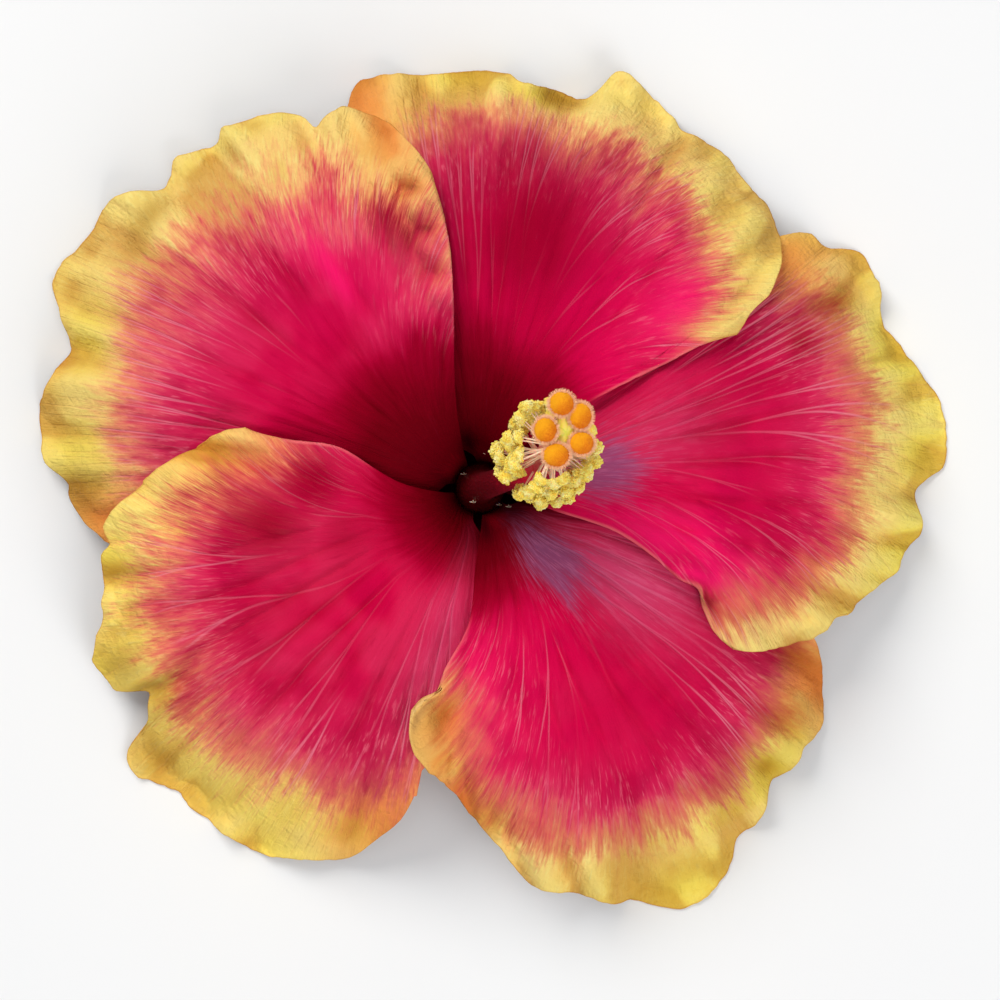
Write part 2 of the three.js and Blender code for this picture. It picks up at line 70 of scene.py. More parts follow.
# Each petal: "over" and "under" are its side edges as (along, bearing), and "rim" its free margin
# as (bearing, out). "folds" are its swellings as (bearing, out, spread in degrees, spread, rise),
# and "creases" the finer ones, which only this model has.
# "blush" is the line where its pink blade turns yellow, as (bearing, out), and "eye" is the dark
# centre's reach at the side that lies on top and at the tucked one. "tint" casts all its colours.
# "steepness" is how fast the blade turns yellow, and "lemon", "rosy" and "tan" are how strong the
# clouds of these colours are in the border, in the blade and where they meet.
# The rest are patches, as (bearing, out, spread in degrees, spread, strength if not 1): the mauve
# flush, the fan of pale rays, orange stretches of the border, deeper crimson, hotter pink, olive
# painted shade in folds, brighter yellow, and where the side on top curls over, with a painted
# shadow within and a painted highlight along its pale edge.
PETALS = {
    "petal_right": {
        "bearing": 5,
        "over": [(0, -13), (10, -13), (20, -17), (31, -17.7), (43.5, -24.4), (47.5, -24.8), (50, -28.4),
            (53.5, -31.6), (60, -32.5)],
        "under": [(0, 28), (7, 31), (13, 50), (20, 53), (50, 53), (60, 51)],
        "rim": [(-32.3, 48), (-29.6, 52.5), (-24, 59.3), (-19.7, 62), (-18.8, 63.9), (-16, 65.2),
            (-11.5, 70), (-8.8, 71.4), (-5.8, 73.7), (-1.2, 72.3), (0.9, 74.1), (2.5, 77.5), (4.8, 78.4),
            (10.3, 78.4), (13.8, 76.5), (18.5, 74.5), (23, 72.7), (26.2, 74.3), (29.2, 74.9),
            (32.2, 74.5), (34.8, 70.2), (36.8, 69.7), (38.6, 68), (39.6, 65.4), (40.6, 62), (45, 56),
            (51, 49)],
        "folds": [(-22, 36, 4, 6, 2.0), (-28, 43, 3, 4, -1.0), (-31, 50, 4, 7, 1.5),
            (-18.5, 64, 2.5, 7, -1.5), (-9, 71, 2, 7, -1.8), (-4.5, 74, 2, 6, 1.5),
            (-0.5, 72.5, 2, 7, -1.6), (7, 78, 4, 9, -0.6), (23.5, 72, 2.8, 12, -2.4),
            (31, 74, 3, 9, 1.6)],
        "creases": [(28.5, 64, 1.8, 10, -1.3), (31.5, 66, 2, 9, 0.9), (24, 62, 2, 9, 0.8),
            (15, 71, 1.2, 7, 0.9), (12, 70, 1.2, 7, -0.9), (18, 70, 1.3, 7, -0.9), (8, 72, 1.3, 7, 0.9),
            (3, 73, 1.4, 7, -1), (-7, 68, 1.5, 8, -1.4), (-4, 69, 1.5, 7, 1.2), (-10, 67, 1.6, 7, 1),
            (-17, 62, 1.5, 8, -1.4), (-14, 64, 1.6, 7, 1.2), (-26, 40, 2.4, 3.5, -2.2),
            (-22, 36, 3, 5, 1.8), (-28, 46, 3, 5, 1.8), (-12, 45, 1.3, 18, -0.7),
            (-3, 45, 1.2, 18, -0.7), (6, 48, 1.2, 18, -0.7), (14, 48, 1.2, 18, -0.6),
            (21, 50, 1.3, 16, -0.7)],
        "blush": [(-34, 36.5), (-30, 38), (-30, 40), (-26, 42.8), (-21, 48.6), (-17, 53.6), (-14, 54.6),
            (-11, 58), (6, 63.3), (13, 64.2), (21, 62.6), (27, 63), (34, 57.6), (38, 57), (42, 54),
            (48, 49), (58, 43)],
        "eye": (9, 13), "tint": 0xF8FDFD, "steepness": 1.0, "lemon": 0.5, "rosy": 0.08, "tan": 0.3,
        "mauve": [(8, 20, 16, 7.5)],
        "rays": [(17, 29, 11, 11, 0.6)],
        "orange": [(36, 62, 6, 9), (-14, 52, 5, 5, 0.5)],
        # Its hot pink is partly painted light, where the anthers' shadow falls.
        "hot": [(-16, 31, 8, 9), (-20, 37, 6, 6)],
        "fold_shade": [(27.3, 67, 2.4, 6, 1.2), (24.5, 57, 3, 3.5)],
        "bright": [(18, 74, 5, 6), (4, 73, 4, 5), (-8, 72, 4, 4)],
        "curl": [(-26.5, 40.5, 3.5, 3.2)],
    },
    "petal_top": {
        "bearing": 77,
        "over": [(0, 48), (10, 47), (20, 42), (33, 37), (44, 33.7), (52, 32.5), (58, 30.6)],
        "under": [(0, 98), (7, 101), (13, 119), (20, 121), (50, 121), (60, 119)],
        "rim": [(30.3, 47), (32.9, 51.3), (33.6, 55.3), (35.4, 58.8), (37.9, 62.5), (40.4, 64.6),
            (44.4, 66.3), (49.2, 66.9), (53, 68.7), (56.7, 68.8), (60.6, 68.4), (62.2, 69.5), (65.6, 71),
            (68.8, 72.2), (71.6, 72.7), (73.4, 69.2), (74.8, 67.1), (77.2, 67.2), (79.2, 67.9),
            (83.7, 67.4), (86, 69.3), (92.2, 70), (96.6, 69.7), (101, 70.2), (106.4, 71.2), (108, 69.6),
            (109.5, 66.4), (113, 61), (119, 51)],
        "folds": [(33, 50, 4, 9, 1.6), (39.5, 63, 5, 6, 1.2), (62, 68.5, 2.2, 8, -1.2),
            (70, 66, 3.2, 6, 1.6), (77, 65, 3.4, 7, -2.0), (84, 68, 3, 8, 1.8), (95, 69, 4, 9, -1.2),
            (103, 70, 3, 9, 1.2)],
        "creases": [(87, 66, 1.5, 6, 1.2), (90, 66, 1.5, 6, -1), (72, 69, 2, 8, 1.6),
            (60.5, 65, 1.5, 9, -1.2), (49, 63, 2, 9, -1), (53, 62, 2, 9, 0.8), (44, 60, 1.6, 9, 0.8),
            (41, 59, 1.6, 9, -0.8), (36, 54, 2, 6, -1), (33, 49, 2, 4, 0.9), (99, 65, 1.6, 9, -1),
            (103, 64, 1.6, 9, 0.9), (60, 45, 1.2, 18, -0.7), (51, 42, 1.2, 16, -0.6),
            (72, 45, 1.2, 18, -0.6), (85, 48, 1.2, 18, -0.7), (94, 50, 1.4, 16, -0.7)],
        "blush": [(26, 42), (31, 43), (35, 43), (37, 46.9), (42, 49.1), (46, 54), (51, 54), (55, 56),
            (59, 55.6), (68, 58.2), (77, 57.2), (85, 59), (92, 59), (98, 58.4), (101, 58), (105, 52.9),
            (112, 48), (126, 42)],
        "eye": (16, 22), "tint": 0xF8FCFF, "steepness": 0.95, "lemon": 0.25, "rosy": 0.0, "tan": 0.1,
        "orange": [(107, 66, 6, 10)],
        "deep": [(78, 42, 14, 15)],
        "hot": [(42, 44, 5, 7)],
        "fold_shade": [(79, 66, 4, 2)],
        "bright": [(81, 66, 5, 3), (92, 69, 5, 3)],
    },
    "petal_upper_left": {
        "bearing": 149,
        "over": [(0, 118), (10, 115), (20, 107), (33, 99.6), (46, 97), (62, 98.7)],
        "under": [(0, 171), (7, 174), (13, 191), (20, 196), (50, 199), (60, 198)],
        "rim": [(98.6, 50.3), (100.8, 54.9), (104.5, 61.7), (109, 65.7), (110.7, 66.1), (113.6, 65),
            (114.8, 65.2), (115.4, 67.8), (118, 70.5), (122.2, 72.2), (125.6, 73.5), (127.2, 71.9),
            (130.8, 73.9), (133, 74.5), (134.9, 73), (136.9, 72.5), (140.3, 76.7), (142.2, 78.2),
            (147.7, 78.1), (152.5, 79.8), (154.4, 79.2), (157.2, 76), (159.5, 73.2), (161.8, 72.1),
            (164.9, 73.6), (169.3, 74.8), (174.6, 73.6), (177, 72), (179, 68.8), (181.3, 68.6),
            (185.2, 65.3), (188.8, 60.9), (198, 46)],
        "folds": [(101, 50, 5, 14, 2.2), (98, 34, 4, 10, 1.0), (114, 67, 2.6, 9, -2.6),
            (120.5, 72, 3.5, 9, 1.6), (127.3, 73, 2.2, 9, -2.6), (136, 72, 2.8, 13, -3.0),
            (143, 70, 3, 6, 1.5), (148, 79, 4, 7, -1.5), (160, 73, 2.4, 12, -2.6), (168, 75, 4, 10, 1.4),
            (180.5, 68, 2.5, 8, -1.2)],
        "creases": [(125, 68, 1.5, 8, 1.7), (129.5, 68, 1.7, 9, -1.6), (112.5, 62, 1.8, 9, 1.3),
            (117, 64, 1.6, 9, -1.2), (140, 68, 2.3, 10, 1.9), (134, 64, 2.3, 9, -1.4),
            (145, 70, 1.6, 8, -1.2), (151, 74, 2, 9, 1.1), (158, 68, 1.3, 7, 1.4),
            (162.5, 66, 1.5, 9, -0.9), (165.5, 68, 1.5, 9, 1.2), (172, 67, 1.5, 9, -1.1),
            (177, 66, 1.5, 8, 1), (184, 60, 1.6, 8, -1.1), (104, 52, 2.6, 2, 2),
            (103, 48.5, 2.6, 1.7, -2), (102, 45, 2.8, 1.8, 2.2), (101.5, 41.5, 2.8, 1.7, -2.2),
            (101.5, 38, 2.8, 1.7, 2), (101.5, 34.5, 2.8, 1.7, -1.8), (102, 31, 2.8, 1.7, 1.3),
            (105, 43, 1.5, 7, -1.1), (108, 47, 1.5, 8, 1), (111, 46, 1.5, 9, -1),
            (114.5, 50, 1.6, 9, 0.9), (122, 45, 1.3, 16, -0.6), (132, 45, 1.4, 18, -0.7),
            (143, 45, 1.3, 18, -0.6), (155, 45, 1.3, 18, -0.6)],
        "blush": [(92, 34), (97, 35), (100, 42.8), (104, 45.1), (105, 47.3), (115, 50), (118, 53.7),
            (122, 54.3), (126, 56.9), (133, 56.9), (139, 59.5), (151, 61.4), (155, 60.5), (170, 57.9),
            (172, 56.4), (182, 55.1), (188, 51), (194, 46), (204, 40)],
        "eye": (18, 26), "tint": 0xF7FBFF, "steepness": 0.68, "lemon": 0.3, "rosy": 0.15, "tan": 0.0,
        "orange": [(103, 58, 6, 12), (186, 60, 6, 9), (162, 76, 4, 5)],
        "deep": [(107, 46, 5, 9)],
        "hot": [(124, 42, 2.6, 9)],
        "fold_shade": [(126.5, 68.5, 0.9, 3.5), (140.5, 70, 3.5, 2.4), (180, 66, 3, 4)],
        "bright": [(159, 70, 6, 6), (175, 68, 5, 6)],
    },
    "petal_lower_left": {
        "bearing": 221,
        "over": [(0, 191), (10, 188), (20, 178), (31, 164.5), (40, 166), (46, 166), (49, 165)],
        "under": [(0, 256), (7, 259), (13, 274), (20, 277), (30, 277), (38, 272), (47, 265),
            (57, 258.5)],
        "rim": [(165, 37.5), (167.8, 41.3), (171.4, 44.9), (175.7, 49.9), (180.3, 54.9), (184.7, 60.2),
            (186.6, 61.1), (188.7, 60.4), (190.2, 62.6), (195.3, 64), (198.9, 65.4), (202.3, 68.7),
            (204.2, 70.4), (207.4, 69.6), (209.4, 68.7), (211.5, 64.2), (212.5, 64.4), (215.1, 67.2),
            (216.7, 73.5), (220, 75.1), (221.5, 73.8), (225.3, 71.9), (227.4, 72.3), (231.9, 71.6),
            (235.3, 71.8), (239.1, 71.3), (246.5, 67.4), (250.3, 65.3), (253.5, 60.3), (256.8, 55),
            (258.1, 50.6)],
        "folds": [(172, 46, 6, 9, 2.6), (184, 60, 4, 8, 1.8), (196, 65, 3, 8, -1), (203, 70, 3, 8, 1.6),
            (211.5, 66, 2.4, 13, -3.2), (218, 70, 2.6, 6, 1.4), (225, 73, 6, 6, -2.5),
            (227, 71.5, 2.2, 8, -1.6), (237, 71, 4, 8, 1.2), (252, 61, 4, 7, -1.5)],
        "creases": [(184, 56, 3, 6, 1.3), (179, 49, 3.5, 6, 2.4), (172.5, 45, 2.2, 7, -1.8),
            (168, 40, 2.5, 5, 1.4), (187, 48, 4, 5, -1.3), (181, 41, 5, 5, -1.3), (173, 34, 4, 4, -1),
            (190, 60, 1.8, 7, 0.7), (199, 62, 1.4, 8, -1.1), (208, 62, 1.5, 9, 1.5),
            (214.5, 62, 1.7, 9, 1.1), (221, 69, 1.3, 7, -1.2), (232, 67, 1.5, 8, -1),
            (243, 64, 1.6, 8, 0.9), (249, 58, 2, 9, -1.3), (194, 42, 1.2, 16, -0.8),
            (202, 40, 1.2, 17, -0.9), (210, 42, 1.2, 18, -1), (218, 44, 1.2, 18, -1),
            (226, 44, 1.2, 18, -1), (234, 42, 1.2, 17, -0.9), (243, 38, 1.4, 15, -0.8)],
        "blush": [(158, 32), (166, 32), (170, 31.5), (175, 34.5), (182, 39), (186, 47.5), (188, 50.6),
            (197, 55.4), (200, 57.2), (206, 54.7), (208, 56), (212, 55.5), (216, 57.9), (223, 58.3),
            (226, 58), (230, 56.1), (235, 57), (236, 55.2), (243, 55.6), (254, 51.6), (258, 46),
            (266, 42), (282, 38)],
        "eye": (14, 11), "tint": 0xFFFFFF, "steepness": 0.75, "lemon": 0.5, "rosy": 0.25, "tan": 0.1,
        "rays": [(258, 26, 9, 12, 0.8)],
        "orange": [(254, 55, 8, 13), (171, 45, 9, 12, 0.65)],
        "deep": [(190, 34, 12, 9), (178, 25, 14, 10), (198, 18, 14, 9)],
        "fold_shade": [(206, 65, 3, 5), (214, 62, 3, 5), (219, 71, 3, 4), (176, 41.5, 5, 2.2, 0.5)],
        # The patch at 251 degrees is painted light, where the margin bends down into shade.
        "bright": [(240, 70, 8, 6), (251, 58, 4, 5, 0.5), (205, 69, 5, 4), (191, 62, 3, 5),
            (172, 45, 3, 4, 0.5)],
    },
    "petal_bottom": {
        "bearing": 293,
        "over": [(0, 276), (10, 273), (20, 267.5), (30, 266), (38, 259.5), (42, 258.3), (43.8, 255),
            (47, 252.8)],
        "under": [(0, 327), (7, 330), (13, 348), (20, 352), (31, 358), (45, 354), (60, 347)],
        "rim": [(253.1, 36.9), (254.8, 41), (258.8, 45.1), (265, 48.8), (269.8, 54.2), (273.1, 58),
            (274.3, 60.3), (277.7, 65.8), (284.5, 69.3), (288, 73), (290.4, 73.4), (293.4, 76.5),
            (296.2, 78.4), (301, 77.5), (304, 75.4), (306.3, 72.7), (309.3, 72.4), (312.8, 70.2),
            (314.8, 68.8), (317.7, 69.7), (321.3, 68.6), (324.3, 69.4), (326.5, 68.5), (332.4, 63.5),
            (335.8, 59.7), (341, 53), (347, 46)],
        "folds": [(262, 31, 3.5, 6, 1.6), (257, 42, 4, 5, 1.2), (268, 57, 6, 6, -2.0),
            (286, 71, 2.5, 8, 1.3), (290, 73, 2, 7, -1.4), (298, 77, 5, 8, -1.8),
            (308, 72, 2.5, 9, -1.6), (315.5, 68, 2.6, 14, -2.6), (328, 67, 5, 10, -1.0)],
        "creases": [(262, 44, 2.6, 4.5, -1.1), (267, 49, 2.6, 4.5, -1.1), (272, 55, 2.6, 4.5, -1.1),
            (257, 37, 3, 3.5, 1.6), (262, 36, 3, 3, -1.4), (261, 41, 4, 2.2, 0.9),
            (264, 38.5, 2.5, 2, 0.8), (321.5, 62, 1.5, 8, -1.7), (325.5, 62, 1.8, 8, 1.3),
            (317.5, 62, 1.8, 9, 1.1), (331, 60, 1.8, 8, -1.1), (283, 66, 1.4, 8, -1.3),
            (286.5, 68, 1.5, 8, 1.1), (292, 72, 1.5, 8, -1.3), (279, 62, 1.5, 7, 1.1),
            (303, 71, 1.5, 8, 1.1), (307.5, 69, 1.4, 8, -1.1), (281, 42, 1.2, 16, -0.6),
            (288, 45, 1.2, 18, -0.7), (296, 45, 1.2, 18, -0.8), (304, 45, 1.2, 18, -0.8),
            (312, 45, 1.2, 16, -0.7)],
        "blush": [(252, 30), (260, 31.5), (266, 34.5), (267.5, 41), (268.5, 46.5), (272, 50.6),
            (277, 52.5), (282, 57.7), (285, 59.5), (292, 60.8), (293, 62.8), (297, 61.6), (301, 62.8),
            (309, 62.8), (315, 61.1), (323, 60.5), (324, 58.8), (336, 56.5), (344, 49), (362, 42)],
        "eye": (15, 12), "tint": 0xFBFFFF, "steepness": 1.1, "lemon": 0.6, "rosy": 0.05, "tan": 0.3,
        "mauve": [(316, 16, 16, 9)],
        # Its rays are partly painted light, where it lies tucked in the right petal's shade.
        "rays": [(329, 27, 12, 12, 1.5)],
        "orange": [(266, 51, 9, 7), (260, 40, 8, 9), (330, 64, 7, 10)],
        "hot": [(269, 27, 5, 8, 0.4)],
        "fold_shade": [(324, 64, 5, 5), (332, 58, 3, 5, 1.2), (259, 37, 4, 4), (316, 66, 2.5, 4),
            (272, 54, 3, 4, 0.7)],
        "bright": [(297, 75, 9, 7), (317, 68, 5, 5)],
        "curl": [(255.5, 36, 4, 5)],
    },
}
# Painted shade round the gaps between the claws, as patches too.
CLAW_GAP_SHADE = [(104, 7.4, 11, 2), (173, 5.4, 18, 2), (277, 6.4, 12, 3), (344, 6, 16, 2), (34, 6, 16, 2)]
RIPPLE = {"rise": 0.7, "wavelength": 11, "reach": 7}
# Uneven pleats up a petal, from broad to fine, as (pleats across it, length, height, seed).
PLEATS = [(9, 26, 0.8, 2), (22, 34, 0.45, 0), (58, 12, 0.18, 5)]
# The frill and crinkles of a margin are spaced out as they are this far from the axis.
MEASURED_AT = 60
PETAL_CELLS = (210, 136)
PETAL_THICKNESS = 0.36

# Veins run from the claw in this many lanes, straight from "straight_from" along, and stray by up
# to "sway" lanes. Each forks over the stretches "forks", as (first along, last along, spread in
# lanes), which begin up to "delay" late, as "by_lane" and "by_petal" share it out.
VEINS = {"lanes": 12, "sway": 0.5, "straight_from": 28, "delay": 10, "by_lane": 0.618,
         "by_petal": 0.37, "forks": [(18, 46, 0.27), (32, 62, 0.13), (46, 80, 0.065)]}
# Outwards from "from" they fan away from the "middle", strongly on the side that lies on top.
FAN = {"middle": 0.47, "from": 18, "softly": 5, "on_top": 0.85, "tucked": 0.12}

# The line that the column and style follow out of the throat, as (up, x, y).
COLUMN_LINE = [
    (4, 0, 0), (12, 0.2, 0.1), (22, 2.5, 0.8), (30, 5.3, 1.8), (38, 8.4, 3.1), (45, 10.5, 4.9),
    (51, 11.9, 6.5), (56, 12.9, 8.0),
]
COLUMN = {"foot": 6.4, "foot_radius": 3.7, "neck_radius": 2.25, "top": 51.5, "top_radius": 1.75}
OVARY = {"radius": 2.3, "height": 5.5}
STYLE = {"radius": 0.6, "top": 58.6, "flares_from": 55}

# Stamens stand in five loose groups round the upper column, as (bearing, share of the reach).
STAMEN_GROUPS = [(40, 0.78), (113, 1.02), (187, 1.0), (264, 1.0), (337, 0.96)]
STAMENS = {"each": 12, "more": 11, "from": 40.5, "to": 50.8, "fan": 27, "nearest": 4.6,
           "furthest": 7.4}
FILAMENT = {"root": 0.16, "tip": 0.09, "sag": 1 / 12}
# An anther's length, breadth and height, and the pollen grains on it as shares of its length.
ANTHER = (2.2, 1.7, 1.5)
POLLEN = {"grains": 58, "least": 0.14, "most": 0.28}
# Pale tufts of hair round the column's foot, as (bearing, out, up), and the lean of their hairs.
TUFTS = [(77, 5.6, 14), (139, 3.3, 10), (249, 2.6, 13), (319, 4.4, 8.5), (327, 5.8, 14.5)]
TUFT_LEANS = (-0.5, 0, 0.5)

# Stigma pads as (x, y, up), and how much wider and deeper than round each is.
STIGMA_PADS = [
    ((12.4, 12.2, 60.2), (1.02, 0.98)), ((15.2, 10.4, 59.6), (0.93, 1.08)),
    ((10.0, 8.3, 60.8), (0.94, 1.03)), ((15.4, 6.4, 59.2), (1.0, 0.95)),
    ((11.6, 4.6, 60.4), (1.08, 0.97)),
]
STIGMA = {"radius": 1.82, "flattening": 0.76, "branch_radius": 0.46}
# The pale skirt under each pad, and the hairs of its fringe.
COLLAR = {"radius": 1.93, "flattening": 0.56, "lower": 0.25}
FRINGE = {"hairs": 820, "length": 0.56, "radius": 0.034, "leans": (-40, 24), "sizes": (0.7, 1.2)}

# Calyx wall as (along, out, up), with pointed lobes from "sinus" to "tip".
CALYX = [
    (-1.6, 3.7, 3.9), (0, 5.1, 4.3), (4, 6.7, 7.4), (8, 7.8, 11.2), (12, 8.5, 15.0),
    (16, 10.6, 18.0), (20, 13.8, 19.9), (23, 16.6, 20.6),
]
CALYX_LOBES = {"count": 5, "first": 41, "sinus": 12, "tip": 23, "thickness": 0.8}

# Bracts of the epicalyx: centre line as (along, out, up), and the ring that they stand on.
BRACT_LINE = [(0, 3.9, 2.9), (3, 6.4, 3.6), (7, 9.6, 5.8), (11, 12.0, 9.0), (14, 13.2, 11.8)]
BRACTS = {"count": 7, "first": 12, "length": 14, "width": 2.5, "thickness": 0.7}
BRACT_RING = {"radius": 3.9, "wire": 0.62, "up": 2.95}

PEDICEL = {"radius": 1.6, "cut": 0.3, "top": 5.7, "shoulder": 4.2}

# The photo's camera: beside the flower's axis, high above it, looking straight down.
CAMERA = {"beside": (3.3, -2.0), "height": 500.0, "focal_px": 2982.0, "image_px": 1000.0,
          "sensor": 36.0}
# Soft lamps as (name, place in metres, size, power, colour).
LAMPS = [
    ("key", (-0.5, 0.75, 0.95), 0.8, 11.5, (1.0, 0.985, 0.96)),
    ("fill", (0.6, -0.85, 0.75), 0.9, 8.2, (0.99, 0.99, 1.0)),
    ("top", (0.1, 0.0, 1.3), 1.0, 3.4, (1.0, 1.0, 1.0)),
]

# The floor's two whites, as the shader's own light values.
FLOOR_WHITES = [(0.84, 0.84, 0.84, 1), (0.86, 0.86, 0.86, 1)]

# Colours are screen colours, written as 0xRRGGBB.
# The blade's and border's colours by distance past the blush line, in mm.
BLADE_COLOURS = [
    (-30, 0xCA013C), (-20, 0xCC0340), (-13, 0xCD0C44), (-8, 0xD41C4E), (-5, 0xDE345A),
    (-2.5, 0xE95664), (-0.5, 0xF17668), (1.5, 0xF5986A), (3.5, 0xF9B672), (6, 0xFBCF76),
    (14, 0xF9D570),
]
# The eye's colours by distance from the axis, as a share of its reach. The stops nearest the axis
# are lighter as painted light, against the shade deep in the throat.
EYE_COLOURS = [
    (0.1, 0xC40320), (0.28, 0x8E0216), (0.42, 0x68010E), (0.75, 0x700110),
    (1.0, 0x8C011C), (1.3, 0xAA022C), (1.7, 0xC4033C),
]
# The column's and style's colours by height, and the pollen's by its clouds.
COLUMN_COLOURS = [
    # The foot's stop is lighter as painted light, against the shade deep in the throat.
    (6, 0xA00314), (14, 0x700210), (26, 0x6C0314), (33, 0xA00522),
    (38, 0xDE0E34), (44, 0xE25C60), (50, 0xF0A88E),
]
STYLE_COLOURS = [
    (40, 0xEC9682), (54, 0xF4CE68), (57, 0xE4DA2C), (59, 0xFAEE54), (60, 0xFFD678),
]
POLLEN_COLOURS = [(0.3, 0xFFE65A), (0.5, 0xFFF67C), (0.7, 0xFFFFBA)]


# Curves, noise and draws


def through(rows, x, column=1):
    """A smooth curve through rows sorted by their first number."""
    rows = np.asarray(rows, float)
    place, value = rows[:, 0], rows[:, column]
    last = len(rows) - 1
    x = np.clip(x, place[0], place[-1])
    i = np.clip(np.searchsorted(place, x, side="right") - 1, 0, last - 1)
    before = np.maximum(np.arange(last + 1) - 1, 0)
    after = np.minimum(np.arange(last + 1) + 1, last)
    slope = (value[after] - value[before]) / (place[after] - place[before])
    span = place[i + 1] - place[i]
    t = (x - place[i]) / span
    s = 1 - t
    bend = span * t * s * (slope[i] * s - slope[i + 1] * t)
    return value[i] * (1 + 2 * t) * s * s + value[i + 1] * (3 - 2 * t) * t * t + bend


def smooth(t):
    u = np.clip(t, 0, 1)
    return u * u * (3 - 2 * u)


def smooth_step(value, low, high):
    return smooth((value - low) / (high - low))


def bell(x):
    return np.exp(-x * x)


def mix(a, b, t):
    return a + (b - a) * t


def grain(x, y, z=0.0, seed=0):
    """Smooth noise from -1 to 1, with one bump to each unit of x, y and z."""
    x, y, z = np.broadcast_arrays(*(np.asarray(v, float) for v in (x, y, z)))
    i, j, k = np.floor(x), np.floor(y), np.floor(z)
    u, v, w = smooth(x - i), smooth(y - j), smooth(z - k)

    def corner(a, b, c):
        h = np.sin((i + a) * 127.1 + (j + b) * 311.7 + (k + c) * 74.7 + seed * 19.19) * 43758.5453
        return 2 * (h - np.floor(h)) - 1

    def layer(c):
        return mix(mix(corner(0, 0, c), corner(1, 0, c), u), mix(corner(0, 1, c), corner(1, 1, c), u), v)

    return mix(layer(0), layer(1), w)


def clouds(x, y, seed):
    """Soft noise from 0 to 1 in three sizes."""
    layers = sum(grain(x * 2**i, y * 2**i, seed=seed + i) / 2**i for i in range(3))
    return 0.5 + layers / 3.5


def draws_from(seed):
    """A repeatable stream of numbers from 0 to 1, the same as the solids were placed by."""
    whole = 0xFFFFFFFF
    state = seed
    while True:
        state = (state + 0x6D2B79F5) & whole
        t = ((state ^ (state >> 15)) * (1 | state)) & whole
        t = ((t + (((t ^ (t >> 7)) * (61 | t)) & whole)) & whole) ^ t
        yield ((t ^ (t >> 14)) & whole) / 4294967296


def vein_gap(number, track, along, step):
    """How far places lie from the nearest vein, in lanes, for the mesh and the shader alike."""
    share = track % 1
    late = ((track - share) * VEINS["by_lane"] + number * VEINS["by_petal"]) % 1 * VEINS["delay"]
    gap = abs(share - 0.5)
    for first, last, spread in VEINS["forks"]:
        gap = abs(gap - step(along - late, first, last) * spread)
    return gap


# Materials


class Shade:
    """A value that varies over a surface. Python's operators on it add Math nodes."""

    def __init__(self, socket):
        self.socket = socket

    def math(self, operation, *others):
        node = self.socket.id_data.nodes.new("ShaderNodeMath")
        node.operation = operation
        for slot, value in zip(node.inputs, (self, *others)):
            plug(slot, value)
        return Shade(node.outputs[0])

    def __add__(self, other):
        return self.math("ADD", other)

    def __sub__(self, other):
        return self.math("SUBTRACT", other)

    def __mul__(self, other):
        return self.math("MULTIPLY", other)

    def __truediv__(self, other):
        return self.math("DIVIDE", other)

    def __mod__(self, other):
        return self.math("FLOORED_MODULO", other)

    def __abs__(self):
        return self.math("ABSOLUTE")

    def __rsub__(self, other):
        return self * -1 + other

    __radd__ = __add__
    __rmul__ = __mul__


def light_of(colour):
    """A screen colour, written 0xRRGGBB, as the shader's own light values."""
    shares = [(colour >> shift & 255) / 255 for shift in (16, 8, 0)]
    return (*(c / 12.92 if c <= 0.04045 else ((c + 0.055) / 1.055) ** 2.4 for c in shares), 1.0)


def plug(slot, value):
    """Links a value that varies into a socket, or sets the socket to a constant."""
    if isinstance(value, Shade):
        slot.id_data.links.new(value.socket, slot)
    elif slot.type == "RGBA" and isinstance(value, int):
        slot.default_value = light_of(value)
    else:
        slot.default_value = value


